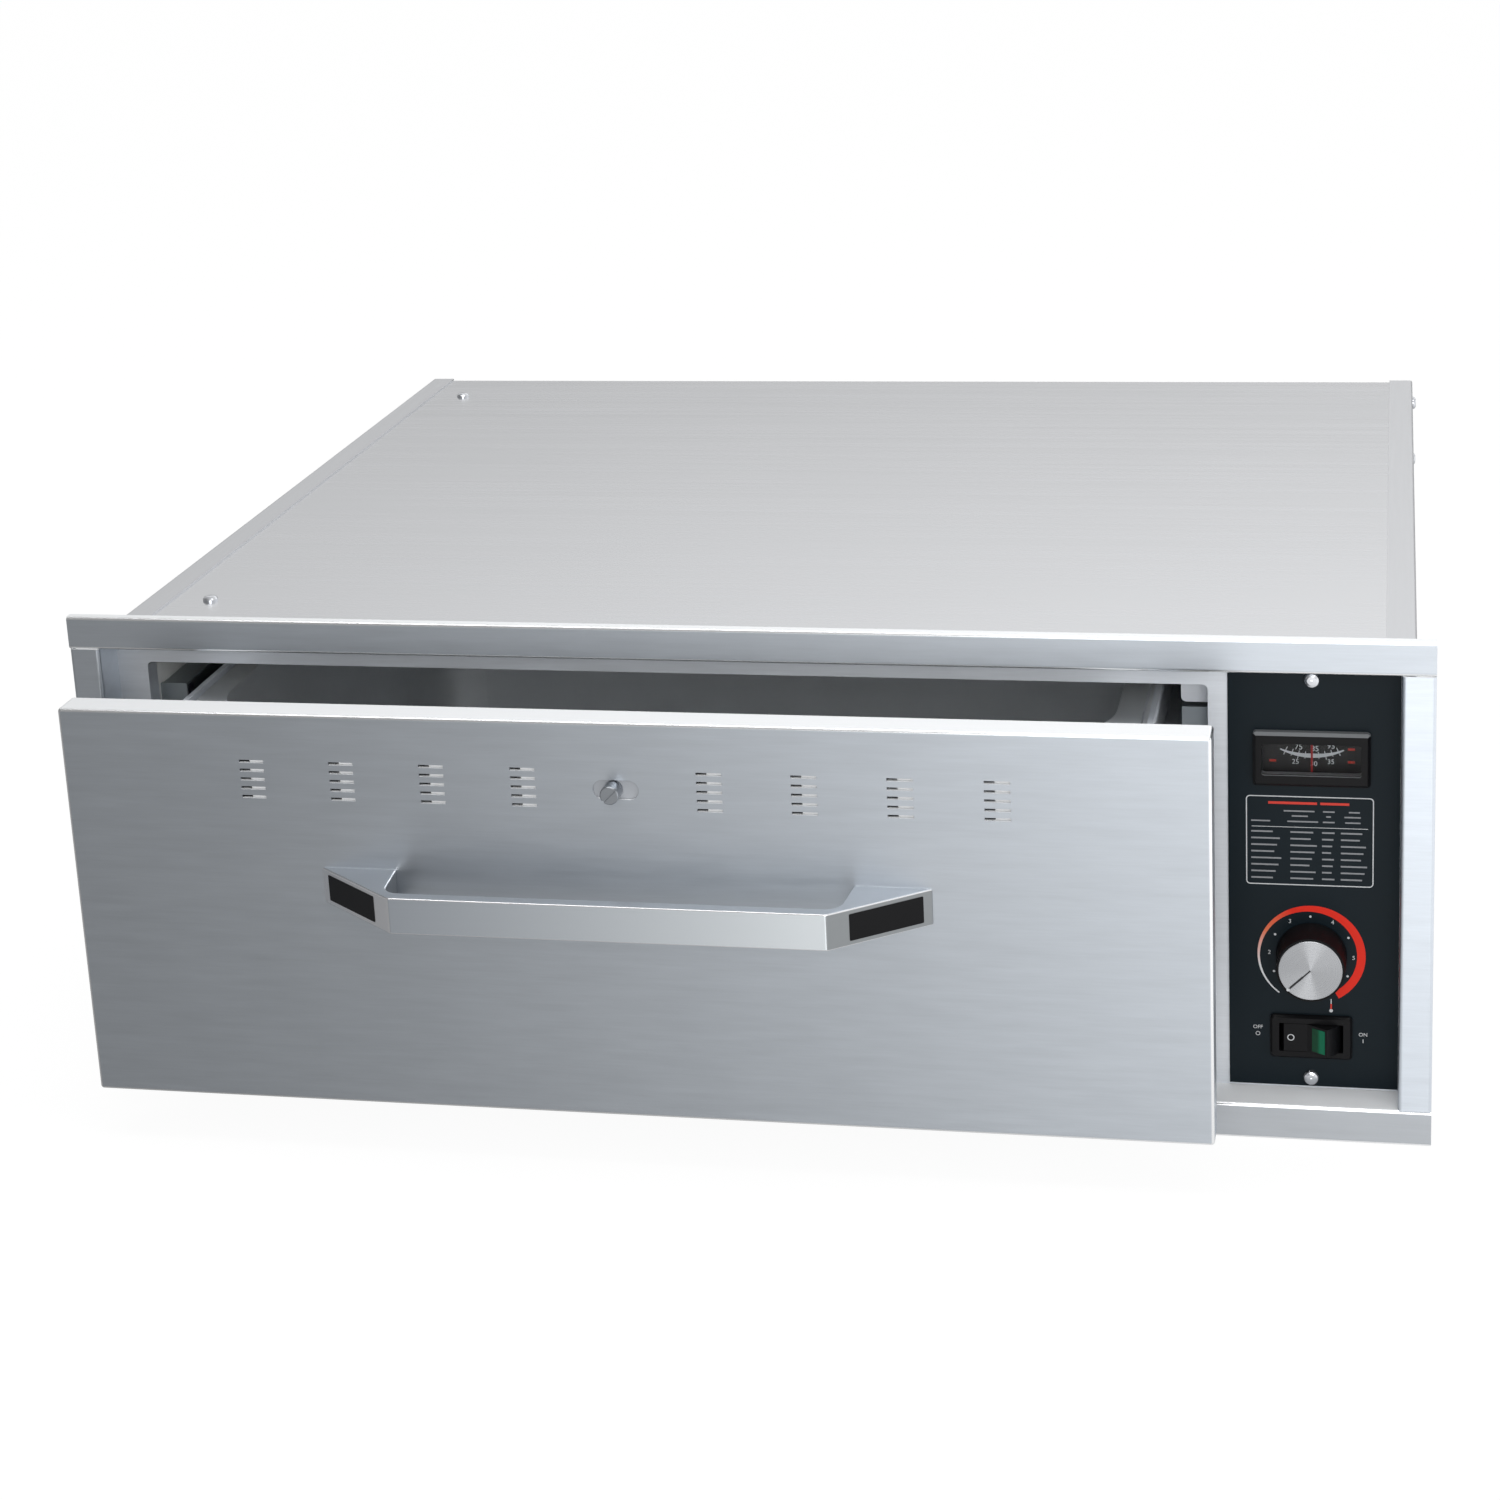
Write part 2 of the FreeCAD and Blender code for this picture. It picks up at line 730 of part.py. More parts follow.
def make_bulb(z, exit_x):
    """A sensing bulb along the right wall and the capillary tube that leads it through the wall."""
    bulb = rod(bulb_diameter / 2, vec(bulb_x, bulb_front, z), vec(0, 1, 0), bulb_length)
    corner = vec(bulb_x, capillary_y, z)
    bend_start = corner + vec(0, capillary_bend, 0)
    bend_end = corner + vec(capillary_bend, 0, 0)
    bulge = capillary_bend * (1 - math.sqrt(0.5))
    bend_middle = corner + vec(bulge, bulge, 0)
    route = Part.Wire([
        Part.makeLine(vec(bulb_x, bulb_front + 1, z), bend_start),
        Part.Arc(bend_start, bend_middle, bend_end).toShape(),
        Part.makeLine(bend_end, vec(exit_x, capillary_y, z))])
    section = Part.Wire(Part.makeCircle(capillary_diameter / 2, vec(bulb_x, bulb_front + 1, z), vec(0, 1, 0)))
    return fuse([bulb, route.makePipeShell([section], True, False)])


thermostat_bulb = make_bulb(thermostat_bulb_z, partition_x + capillary_lead)
thermometer_bulb = make_bulb(thermometer_bulb_z, partition_x + capillary_lead)

# Guard over the two bulbs, riveted to the right wall above the track
guard_back = bulb_front + bulb_length + guard_past_bulbs
guard_bottom = track_top + guard_above_track
guard_left = liner_right - guard_depth
guard_top = liner_top - 2.0
guard_path = [(liner_right, guard_bottom), (guard_left, guard_bottom), (guard_left, guard_top)]
guard_end = along_y(face_of([(guard_left, guard_bottom), (liner_right, guard_bottom), (liner_right, guard_top),
                             (guard_left, guard_top)], [2.0, 0, 0, 0]), guard_front, guard_front + guard_sheet)
bulb_guard = fuse([along_y(bent_strip(guard_path, guard_sheet, 2.0), guard_front, guard_back), guard_end])

# Cabinet tracks: channels open to the drawer, with a front stop and a hanger for the front roller

front_roller_x = liner_left + track_width + front_roller_from_track
front_pin_back = liner_left + track_sheet


def make_cabinet_track():
    """The left track."""
    bottom = track_top - track_height
    inner = liner_left + track_width
    path = [(inner, track_top), (liner_left, track_top), (liner_left, bottom), (inner, bottom)]
    channel = along_y(bent_strip(path, track_sheet, 0.8), track_front, track_front + track_length)
    stop = along_y(face_of(rectangle(liner_left, inner, bottom, track_top), [0.8, 2.0, 2.0, 0.8]),
                   track_front, track_front + track_sheet)
    y, z = front_roller_y, front_roller_z
    hanger = along_x(face_of([(y - 16, bottom + 3), (y - 16, z), (y - 6, z - 10), (y + 6, z - 10), (y + 16, z),
                              (y + 16, bottom + 3)], [0, 3, 6, 6, 3, 0]), liner_left, liner_left + track_sheet)
    track = fuse([channel, stop, hanger])
    pin_hole = rod(roller_pin_diameter / 2, vec(liner_left - 1, y, z), vec(1, 0, 0), 5)
    return track.cut(group([pin_hole] + rivet_holes(liner_left - 2, liner_left + 4)))


cavity_x = (liner_left + liner_right) / 2
cabinet_track_left = make_cabinet_track()
cabinet_track_right = mirror_x(cabinet_track_left, cavity_x)


def make_track_rivets():
    """Round-headed rivets through the left track and the liner wall."""
    rivets = []
    for y in track_rivet_places:
        head = rod(rivet_head / 2, vec(liner_left + track_sheet, y, rear_roller_z), vec(1, 0, 0), 1.1)
        shank = rod(rivet_radius, vec(liner_left - liner_sheet, y, rear_roller_z), vec(1, 0, 0),
                    liner_sheet + track_sheet + 0.2)
        rivets.append(fuse([head, shank]))
    return rivets


left_rivets = make_track_rivets()
track_rivets = group(left_rivets + [mirror_x(rivet, cavity_x) for rivet in left_rivets])


def make_roller(diameter, width, x):
    """A crowned nylon roller with a raised hub on each side, turning about x."""
    bore = roller_pin_diameter / 2 + roller_bore_clearance
    radius = diameter / 2
    hub = roller_pin_shoulder / 2
    dish = 0.8
    crown = 0.5
    section = face_of([(x, bore), (x + width, bore), (x + width, hub), (x + width - dish, hub + 1.0),
                       (x + width - dish, radius - 2.6), (x + width, radius - 1.8), (x + width, radius - crown),
                       (x + width - crown, radius), (x + crown, radius), (x, radius - crown), (x, radius - 1.8),
                       (x + dish, radius - 2.6), (x + dish, hub + 1.0), (x, hub)])
    return section.revolve(vec(0, 0, 0), vec(1, 0, 0), 360)


front_roller_left = make_roller(front_roller_diameter, front_roller_width, front_roller_x)
front_roller_left.translate(vec(0, front_roller_y, front_roller_z))
front_roller_right = mirror_x(front_roller_left, cavity_x)
rear_roller_x = liner_left + track_sheet + rear_roller_from_track
rear_roller_left = make_roller(rear_roller_diameter, rear_roller_width, rear_roller_x)
rear_roller_left.translate(vec(0, rear_roller_y, rear_roller_z))
rear_roller_right = mirror_x(rear_roller_left, cavity_x)

# Drawer runners: an upright web with a hem on top and a riding flange below
pan_left = cavity_x - pan_width / 2
pan_right = cavity_x + pan_width / 2
runner_web = pan_left - runner_web_gap
front_screw_heights = [runner_bottom + 9.0, runner_top - 9.0]
front_tab = 16.0
front_screw_x = runner_web + runner_sheet + front_tab / 2


def make_drawer_runner():
    """The left runner, with a tab bent inward at the front for the drawer front."""
    outer = runner_web - runner_flange
    inner = runner_web + runner_sheet
    path = [(outer, runner_bottom), (inner, runner_bottom), (inner, runner_top)]
    start = front_back_y
    end = start + runner_length
    rail = along_y(bent_strip(path, runner_sheet, 0.8), start, end)
    hem = along_y(face_of(rectangle(inner - runner_hem, inner, runner_top - 5.0, runner_top), [0, 0, 0.8, 0.8]),
                  start, end)
    tab = along_y(face_of(rectangle(runner_web, inner + front_tab, runner_bottom, runner_top), [0, 3, 3, 0]),
                  start, start + runner_sheet)
    runner = fuse([rail, hem, tab])
    pin_hole = rod(roller_pin_diameter / 2, vec(runner_web - 5, rear_roller_y, rear_roller_z), vec(1, 0, 0), 12)
    holes = [rod(screw_shank / 2, vec(front_screw_x, start - 2, z), vec(0, 1, 0), 8)
             for z in front_screw_heights]
    return runner.cut(group([pin_hole] + holes))


drawer_runner_left = make_drawer_runner()
drawer_runner_right = mirror_x(drawer_runner_left, cavity_x)


def make_pin(y, z, root, shoulder_from, shoulder_to, tip, head_outside):
    """A shouldered roller pin along x, its thin end riveted in the sheet at root and headed at the tip."""
    sign = 1 if tip > root else -1
    direction = vec(sign, 0, 0)
    core = rod(roller_pin_diameter / 2, vec(root, y, z), direction, abs(tip - root))
    shoulder = rod(roller_pin_shoulder / 2 - 0.6, vec(shoulder_from, y, z), direction,
                   abs(shoulder_to - shoulder_from))
    head = rod(roller_pin_diameter / 2 + 1.6, vec(tip, y, z), direction, head_outside)
    return fuse([core, shoulder, head])


pin_head_height = 1.2
front_pin_tip = front_roller_x + front_roller_width + roller_side_gap
left_front_pin = make_pin(front_roller_y, front_roller_z, liner_left + 0.1, front_pin_back,
                          front_roller_x - roller_side_gap, front_pin_tip, pin_head_height)
front_roller_pins = group([left_front_pin, mirror_x(left_front_pin, cavity_x)])
rear_pin_tip = rear_roller_x - roller_side_gap
left_rear_pin = make_pin(rear_roller_y, rear_roller_z, runner_web + runner_sheet, runner_web,
                         rear_roller_x + rear_roller_width + roller_side_gap, rear_pin_tip, pin_head_height)
rear_roller_pins = group([left_rear_pin, mirror_x(left_rear_pin, cavity_x)])

# Pan frame: a flat ring under the pan's rim with flanges turned down to the runners

frame_top = rim_top - pan_rim_lip
frame_front = front_back_y + runner_sheet + screw_head_height + 2.0
frame_left = runner_web + runner_sheet
frame_right = 2 * cavity_x - frame_left
frame_back = front_back_y + runner_length


def pan_outline(grow, corner):
    """The rounded rectangle of the pan's mouth, grown on every side, as a face in x and y."""
    return face_of(rectangle(pan_left + pan_rim - grow, pan_right - pan_rim + grow,
                             pan_front + pan_rim - grow, pan_back - pan_rim + grow), corner + grow)


def make_pan_frame():
    """The ring, lipped down at its sides, front and back."""
    outer = box(frame_left, frame_right, frame_front, frame_back, frame_top - frame_flange, frame_top)
    inner = box(frame_left + frame_sheet, frame_right - frame_sheet, frame_front + frame_sheet,
                frame_back - frame_sheet, frame_top - frame_flange - 1, frame_top - frame_sheet)
    hole = along_z(pan_outline(2.0, pan_corner), frame_top - frame_flange, frame_top + 1)
    return outer.cut(inner).cut(hole)


pan_frame = make_pan_frame()


def make_food_pan():
    """A deep drawn pan: rounded corners, tapered walls, a rolled rim and a soft floor radius."""
    def body(inset, floor, taper_floor):
        mouth = pan_outline(-inset, pan_corner)
        base = pan_outline(-inset - pan_taper, pan_corner)
        mouth.translate(vec(0, 0, rim_top))
        base.translate(vec(0, 0, floor))
        solid = Part.makeLoft([mouth.OuterWire, base.OuterWire], True, True)
        low = [edge for edge in solid.Edges if abs(edge.BoundBox.ZMax - floor) < 1e-3]
        return solid.makeFillet(taper_floor, low)

    outside = body(0.0, rim_top - pan_depth, pan_floor_radius)
    inside = body(pan_sheet, rim_top - pan_depth + pan_sheet, pan_floor_radius - pan_sheet)
    rim_corner = pan_corner * 0.6
    lip_bottom = rim_top - pan_rim_lip
    rim = along_z(pan_outline(pan_rim, rim_corner), rim_bottom, rim_top)
    lip = along_z(pan_outline(pan_rim, rim_corner), lip_bottom, rim_top)
    lip = lip.cut(along_z(pan_outline(pan_rim - pan_sheet, rim_corner), lip_bottom - 1, rim_top))
    return fuse([outside, rim, lip]).cut(inside)


food_pan = make_food_pan()

# Drawer front: a folded shell closed at the back by an inner plate


def vent_centres():
    """The x places of the vent groups, spaced evenly each side of the damper knob."""
    steps = [i for i in range(-vents_per_side, vents_per_side + 1) if i != 0]
    return [front_x + i * vent_pitch for i in steps]


def vent_slots(shift, y0, y1, grow=0.0):
    """All the short horizontal slots, moved sideways by shift."""
    slots = []
    for centre in vent_centres():
        for i in range(slots_per_vent):
            z = vent_z + (i - (slots_per_vent - 1) / 2) * slot_pitch
            slots.append(box(centre + shift - slot_length / 2 - grow, centre + shift + slot_length / 2 + grow,
                             y0, y1, z - slot_height / 2 - grow, z + slot_height / 2 + grow))
    return slots


damper_travel = slot_length
damper_slot_length = damper_knob_diameter + damper_travel + 2 * damper_end_clearance
damper_closed_x = front_x - damper_travel / 2
damper_knob_x = damper_closed_x + damper_share_open * slot_length
handle_screw_x = handle_length / 2 - handle_screw_inset
handle_screws_at = [vec(front_x + side * handle_screw_x, front_inside_y, handle_z) for side in (-1, 1)]
front_screws_at = [vec(x, front_back_y - trim_sheet, z)
                   for x in (front_screw_x, 2 * cavity_x - front_screw_x) for z in front_screw_heights]


def make_drawer_front():
    """The outer shell, folded back on all four sides, with vent slots and the damper's long slot."""
    block = box(front_left, front_right, front_y, front_back_y, front_bottom, front_top)
    edges = [edge for edge in block.Edges if edge.BoundBox.YMin < front_y + 1e-3]
    shell = block.makeFillet(front_edge, edges)
    hollow = box(front_left + trim_sheet, front_right - trim_sheet, front_inside_y, front_back_y + 1,
                 front_bottom + trim_sheet, front_top - trim_sheet)
    shell = shell.cut(hollow)
    half = damper_slot_length / 2
    long_slot = along_y(face_of(rectangle(front_x - half, front_x + half, vent_z - damper_slot_height / 2,
                                          vent_z + damper_slot_height / 2), damper_slot_height / 2 - 0.01),
                        front_y - 1, front_inside_y + 1)
    screws = [rod(screw_shank / 2, place - vec(0, 3, 0), vec(0, 1, 0), 6) for place in handle_screws_at]
    return shell.cut(group(vent_slots(0.0, front_y - 1, front_inside_y + 1) + [long_slot] + screws))


drawer_front = make_drawer_front()


def make_front_back_plate():
    """The inner plate, with a window behind each vent group and a rim that fits inside the shell."""
    inner_left = front_left + trim_sheet
    inner_right = front_right - trim_sheet
    path = [(inner_right, front_back_y - 10), (inner_right, front_back_y), (inner_left, front_back_y),
            (inner_left, front_back_y - 10)]
    plate = along_z(bent_strip(path, trim_sheet), front_bottom + trim_sheet, front_top - trim_sheet)
    window_height = slots_per_vent * slot_pitch
    cuts = [along_y(face_of(rectangle(centre - slot_length / 2 - 2, centre + slot_length / 2 + 2,
                                      vent_z - window_height / 2, vent_z + window_height / 2), 2.0),
                    front_back_y - 3, front_back_y + 1) for centre in vent_centres()]
    cuts += [rod(screw_shank / 2, place - vec(0, 2, 0), vec(0, 1, 0), 6) for place in front_screws_at]
    return plate.cut(group(cuts))


drawer_front_back = make_front_back_plate()
front_screws = [pan_head_screw(place + vec(0, trim_sheet + runner_sheet, 0), vec(0, 1, 0), 6.5)
                for place in front_screws_at]

# Damper: a slotted plate behind the shell, moved by a knob through the long slot

damper_left = vent_centres()[0] - slot_length - 8.0
damper_right = vent_centres()[-1] + slot_length + 8.0
damper_half_height = slots_per_vent * slot_pitch / 2 + 4.0
damper_guide_overlap = 3.0
guide_sheet = 1.0
guide_side_gap = 0.5
guide_foot = 7.5
guide_past_left = 12.0
guide_past_right = 4.0


def make_damper_plate():
    """The sliding plate; its slots stand aside from the shell's by the share that is closed."""
    plate = box(damper_left + damper_offset / 2, damper_right + damper_offset / 2, damper_front, damper_back,
                vent_z - damper_half_height, vent_z + damper_half_height)
    stud_hole = rod(2.5, vec(damper_knob_x, damper_front - 1, vent_z), vec(0, 1, 0), 4)
    return plate.cut(group(vent_slots(damper_offset, damper_front - 1, damper_back + 1) + [stud_hole]))


damper_plate = make_damper_plate()


def make_damper_guides():
    """Two long joggled strips, above and below the plate, that hold it against the shell."""
    over = vent_z + damper_half_height - damper_guide_overlap
    near = vent_z + damper_half_height + guide_side_gap + guide_sheet
    far = near + guide_foot
    step = damper_back + plate_clearance + guide_sheet
    seat = front_inside_y + guide_sheet
    section = bent_strip([(step, over), (step, near), (seat, near), (seat, far)], guide_sheet, 0.3)
    upper = along_x(section, damper_left - guide_past_left, damper_right + guide_past_right)
    lower = upper.mirror(vec(0, 0, vent_z), vec(0, 0, 1))
    return group([upper, lower])


damper_guides = make_damper_guides()


def make_damper_knob():
    """A round thumb nut with a screwdriver slot across its face and a shoulder on the plate."""
    radius = damper_knob_diameter / 2
    start = vec(damper_knob_x, front_y - damper_knob_proud, vent_z)
    length = damper_front - start.y
    head = rod(radius, start, vec(0, 1, 0), length)
    rim = [edge for edge in head.Edges if abs(edge.BoundBox.YMax - start.y) < 1e-3]
    head = head.makeChamfer(0.5, rim)
    slot = Part.makeBox(radius * 2.4, 1.6, 1.4, vec(-radius * 1.2, 0, -0.7))
    slot.rotate(vec(0, 0, 0), vec(0, 1, 0), -45)
    slot.translate(start - vec(0, 0.01, 0))
    stud = rod(2.45, vec(damper_knob_x, damper_front - 0.5, vent_z), vec(0, 1, 0), damper_sheet + 5.0)
    return fuse([head, stud]).cut(slot)


damper_knob = make_damper_knob()
nut_across_flats = 8.0


def hex_nut(centre, across, bore, length):
    """A six-sided nut along y from its centre point."""
    radius = across / 2 / math.cos(math.pi / 6)
    points = [(centre.x + radius * math.cos(math.pi / 3 * i), centre.z + radius * math.sin(math.pi / 3 * i))
              for i in range(6)]
    body = along_y(face_of(points), centre.y, centre.y + length)
    return body.cut(rod(bore, centre - vec(0, 1, 0), vec(0, 1, 0), length + 2))


damper_nut = hex_nut(vec(damper_knob_x, damper_back, vent_z), nut_across_flats, 2.45, 3.2)

# Handle: a bent bar between two closed wedges, with a bare plate let into each sloping face


def make_handle():
    """The trapezoid pull, seen from above as a bar with wedge ends."""
    end = handle_length / 2
    bend = handle_flat / 2
    inner = bend + handle_shoulder
    points = [(-end, 0), (-bend, -handle_depth), (bend, -handle_depth), (end, 0), (inner, 0),
              (inner - 2.5, handle_bar - handle_depth), (2.5 - inner, handle_bar - handle_depth), (-inner, 0)]
    flat = face_of(points, [0.5, 3.0, 3.0, 0.5, 0.6, 9.0, 9.0, 0.6])
    body = along_z(flat, -handle_height / 2, handle_height / 2)
    long_edges = [edge for edge in body.Edges if abs(edge.BoundBox.ZLength) < 1e-6
                  and edge.BoundBox.YMin < -handle_depth + 1e-3 and edge.Length > 50]
    body = body.makeFillet(0.8, long_edges)
    body.translate(vec(front_x, front_y, handle_z))
    return body


slope = math.atan2(handle_depth, (handle_length - handle_flat) / 2)


def handle_plate(thickness, sink):
    """A thin plate lying on the left sloping face, sunk in by sink, its outer end by the drawer front."""
    flat = face_of(rectangle(handle_label_end, handle_label_end + handle_label_length,
                             -handle_label_height / 2, handle_label_height / 2), 0.6)
    plate = along_y(flat, sink - thickness, sink)
    plate.rotate(vec(0, 0, 0), vec(0, 0, 1), -math.degrees(slope))
    plate.translate(vec(front_x - handle_length / 2, front_y, handle_z))
    return plate


left_insert = handle_plate(handle_label_sheet, handle_label_recess)
left_pocket = handle_plate(handle_label_sheet + 3.0, handle_label_recess)
handle_inserts = group([left_insert, mirror_x(left_insert, front_x)])
handle = make_handle().cut(group([left_pocket, mirror_x(left_pocket, front_x)]))
handle = handle.cut(group([rod(screw_shank / 2, place - vec(0, 12, 0), vec(0, 1, 0), 14)
                           for place in handle_screws_at]))
handle_screws = [pan_head_screw(place, vec(0, 1, 0), 11.0) for place in handle_screws_at]
drawer_screws = group(front_screws + handle_screws)

# Control panel: a dark plate in the recess, carrying the thermometer, thermostat and switch


def thermo_cut(width, height, y0, y1, corner=1.5):
    """A rounded window through the panel at the thermometer."""
    flat = face_of(rectangle(panel_x - width / 2, panel_x + width / 2, thermo_z - height / 2,
                             thermo_z + height / 2), corner)
    return along_y(flat, y0, y1)


def switch_cut(width, height, y0, y1, corner=1.0):
    """A rounded window through the panel at the switch."""
    flat = face_of(rectangle(panel_x - width / 2, panel_x + width / 2, switch_z - height / 2,
                             switch_z + height / 2), corner)
    return along_y(flat, y0, y1)


thermo_collar = 1.5
switch_body_width = switch_open_width + 2 * switch_wall
switch_body_height = switch_open_height + 2 * switch_wall + 1.6


def make_control_panel():
    """The plate with its four cut-outs and two screw holes."""
    plate = box(panel_left, panel_right - panel_edge_gap, panel_front, face_front,
                rail_bottom + panel_bottom_gap, overall_height - rail_top - panel_edge_gap)
    cuts = [
        thermo_cut(thermo_window_width + 2 * thermo_collar, thermo_window_height + 2 * thermo_collar,
                   panel_front - 1, face_front + 1),
        switch_cut(switch_body_width, switch_body_height, panel_front - 1, face_front + 1),
        rod(thermostat_bush / 2, vec(panel_x, panel_front - 1, thermostat_z), vec(0, 1, 0), 5),
    ]
    cuts += screw_holes(panel_screw_places, vec(0, -1, 0), 5.0, 0.0)
    return plate.cut(group(cuts))


control_panel = make_control_panel()


def make_thermometer_bezel():
    """The front frame, bevelled along its outer edge, with a collar that passes through the panel."""
    front = panel_front - thermo_proud
    body = thermo_cut(thermo_width, thermo_height, front, panel_front, 2.0)
    edges = [edge for edge in body.Edges if edge.BoundBox.YMax < front + 1e-3]
    body = body.makeChamfer(1.6, edges)
    collar = thermo_cut(thermo_window_width + 2 * thermo_collar, thermo_window_height + 2 * thermo_collar,
                        panel_front - 0.5, face_front)
    window = thermo_cut(thermo_window_width, thermo_window_height, front - 1, face_front + 1)
    rebate = thermo_cut(thermo_window_width + 1.6, thermo_window_height + 1.6, front + 1.4, front + 2.6)
    return fuse([body, collar]).cut(window).cut(rebate)


thermometer_bezel = make_thermometer_bezel()
thermometer_lens = thermo_cut(thermo_window_width + 1.6, thermo_window_height + 1.6,
                              panel_front - thermo_proud + 1.4, panel_front - thermo_proud + 2.6)
case_half = thermo_width / 2 - 1.5
case_bottom = thermo_z - thermo_height / 2 + 1.0
case_top = thermo_pivot_z + 6.0
case_back = face_front + thermo_case_depth
case_wall = 1.5
dial_front = face_front + 4.2
dial_back = dial_front + 0.8
pointer_front = face_front + 2.0
pointer_sheet = 0.6


def make_thermometer_case():
    """The box behind the panel that holds the dial and the pointer's spindle."""
    outer = along_y(face_of(rectangle(panel_x - case_half, panel_x + case_half, case_bottom, case_top), 3.0),
                    face_front, case_back)
    inner = along_y(face_of(rectangle(panel_x - case_half + case_wall, panel_x + case_half - case_wall,
                                      case_bottom + case_wall, case_top - case_wall), 1.6),
                    face_front - 1, case_back - case_wall)
    ledge = along_y(face_of(rectangle(panel_x - case_half + 0.5, panel_x + case_half - 0.5, case_bottom + 0.5,
                                      case_top - 0.5), 2.5), dial_back, dial_back + 1.5)
    mouth = along_y(face_of(rectangle(panel_x - case_half + 5, panel_x + case_half - 5, case_bottom + 5,
                                      case_top - 5), 2.0), dial_back - 1, dial_back + 3)
    boss = rod(4.0, vec(panel_x, case_back - 6, thermo_pivot_z), vec(0, 1, 0), 5)
    case = fuse([outer.cut(inner), ledge.cut(mouth), boss])
    return case.cut(rod(thermo_spindle / 2 + 0.05, vec(panel_x, dial_back - 2, thermo_pivot_z), vec(0, 1, 0),
                        case_back - dial_back + 0.8))


thermometer_case = make_thermometer_case()
spindle_hole = rod(thermo_spindle / 2 + 0.4, vec(panel_x, dial_front - 1, thermo_pivot_z), vec(0, 1, 0), 3)
thermometer_dial = along_y(face_of(rectangle(panel_x - case_half + case_wall, panel_x + case_half - case_wall,
                                             case_bottom + case_wall, case_top - case_wall), 1.6),
                           dial_front, dial_back).cut(spindle_hole)


def make_thermometer_pointer():
    """A tapering needle with a round hub and its spindle, turning in the case's boss."""
    tip = thermo_pivot_z - thermo_pointer_length
    tail = thermo_pivot_z + thermo_pointer_tail
    needle = along_y(face_of([(panel_x - 0.9, tail), (panel_x - 0.45, tip), (panel_x + 0.45, tip),
                              (panel_x + 0.9, tail)]), pointer_front, pointer_front + pointer_sheet)
    hub = rod(2.6, vec(panel_x, pointer_front, thermo_pivot_z), vec(0, 1, 0), 1.4)
    spindle = rod(thermo_spindle / 2, vec(panel_x, pointer_front, thermo_pivot_z), vec(0, 1, 0),
                  case_back - case_wall - 0.5 - pointer_front)
    return fuse([needle, hub, spindle])


thermometer_pointer = make_thermometer_pointer()


def make_thermostat_body():
    """The control's box behind the panel with its threaded bush through it."""
    half = thermostat_box / 2
    flat = face_of(rectangle(panel_x - half, panel_x + half, thermostat_z - half, thermostat_z + half), 4.0)
    case = along_y(flat, face_front, face_front + thermostat_depth)
    bush = rod(thermostat_bush / 2, vec(panel_x, panel_front - 4.6, thermostat_z), vec(0, 1, 0), 7)
    terminals = [box(panel_x + side * 10 - 3.2, panel_x + side * 10 + 3.2, face_front + thermostat_depth - 1,
                     face_front + thermostat_depth + 8, thermostat_z - 12.4, thermostat_z - 11.6)
                 for side in (-1, 1)]
    bore = rod(thermostat_shaft / 2 + 0.05, vec(panel_x, panel_front - 6, thermostat_z), vec(0, 1, 0), 20)
    return fuse([case, bush] + terminals).cut(bore)


thermostat_body = make_thermostat_body()
thermostat_nut = hex_nut(vec(panel_x, panel_front - 3.0, thermostat_z), 14.0, thermostat_bush / 2, 3.0)
knob_front = panel_front - knob_proud
knob_back = panel_front - knob_gap
cap_sheet = 1.2
knob_cavity_radius = 11.5


def make_thermostat_shaft():
    """The control's spindle, flattened where the knob grips it."""
    front = knob_front + 5.0
    back = panel_front + 12.0
    shaft = rod(thermostat_shaft / 2, vec(panel_x, front, thermostat_z), vec(0, 1, 0), back - front)
    flat = box(panel_x + thermostat_shaft / 2 - 1.2, panel_x + 10, front - 1, front + 8, thermostat_z - 10,
               thermostat_z + 10)
    return shaft.cut(flat)


thermostat_spindle = make_thermostat_shaft()


def make_knob():
    """The black body: a slight cone, hollow behind to clear the nut, gripping the flattened spindle."""
    face_radius = knob_face_diameter / 2
    base_radius = knob_base_diameter / 2
    section = face_of([(0, knob_front + cap_sheet), (face_radius - 1.2, knob_front + cap_sheet),
                       (face_radius - 1.2, knob_front), (face_radius, knob_front),
                       (base_radius, knob_back), (knob_cavity_radius, knob_back),
                       (knob_cavity_radius, knob_back - 8.5), (0, knob_back - 8.5)],
                      [0, 0, 0, 0.4, 0, 0, 0, 0])
    body = section.revolve(vec(0, 0, 0), vec(0, 1, 0), 360)
    body.translate(vec(panel_x, 0, thermostat_z))
    return body.cut(thermostat_spindle)


knob_body = make_knob()


def make_knob_cap():
    """The spun disc let into the knob's face, with a radial groove that points to the setting."""
    radius = knob_face_diameter / 2 - 1.2
    centre = vec(panel_x, knob_front - 0.3, thermostat_z)
    disc = rod(radius, centre, vec(0, 1, 0), cap_sheet + 0.3)
    disc = disc.makeChamfer(0.25, [edge for edge in disc.Edges if edge.BoundBox.YMax < knob_front - 0.29])
    groove = box(-0.6, 0.6, -0.1, 0.5, 5.5, radius + 1)
    groove.rotate(vec(0, 0, 0), vec(0, 1, 0), knob_pointer_angle)
    groove.translate(centre)
    return disc.cut(groove)


knob_cap = make_knob_cap()


def turned(shape, angle, pivot):
    """The shape turned about an upright line through the pivot."""
    shape = shape.copy()
    shape.rotate(pivot, vec(0, 0, 1), angle)
    return shape


switch_pivot = vec(panel_x, switch_pivot_y, switch_z)
rocker_radius = math.hypot(rocker_half, rocker_tip)
rocker_half_height = switch_open_height / 2 - rocker_side_gap


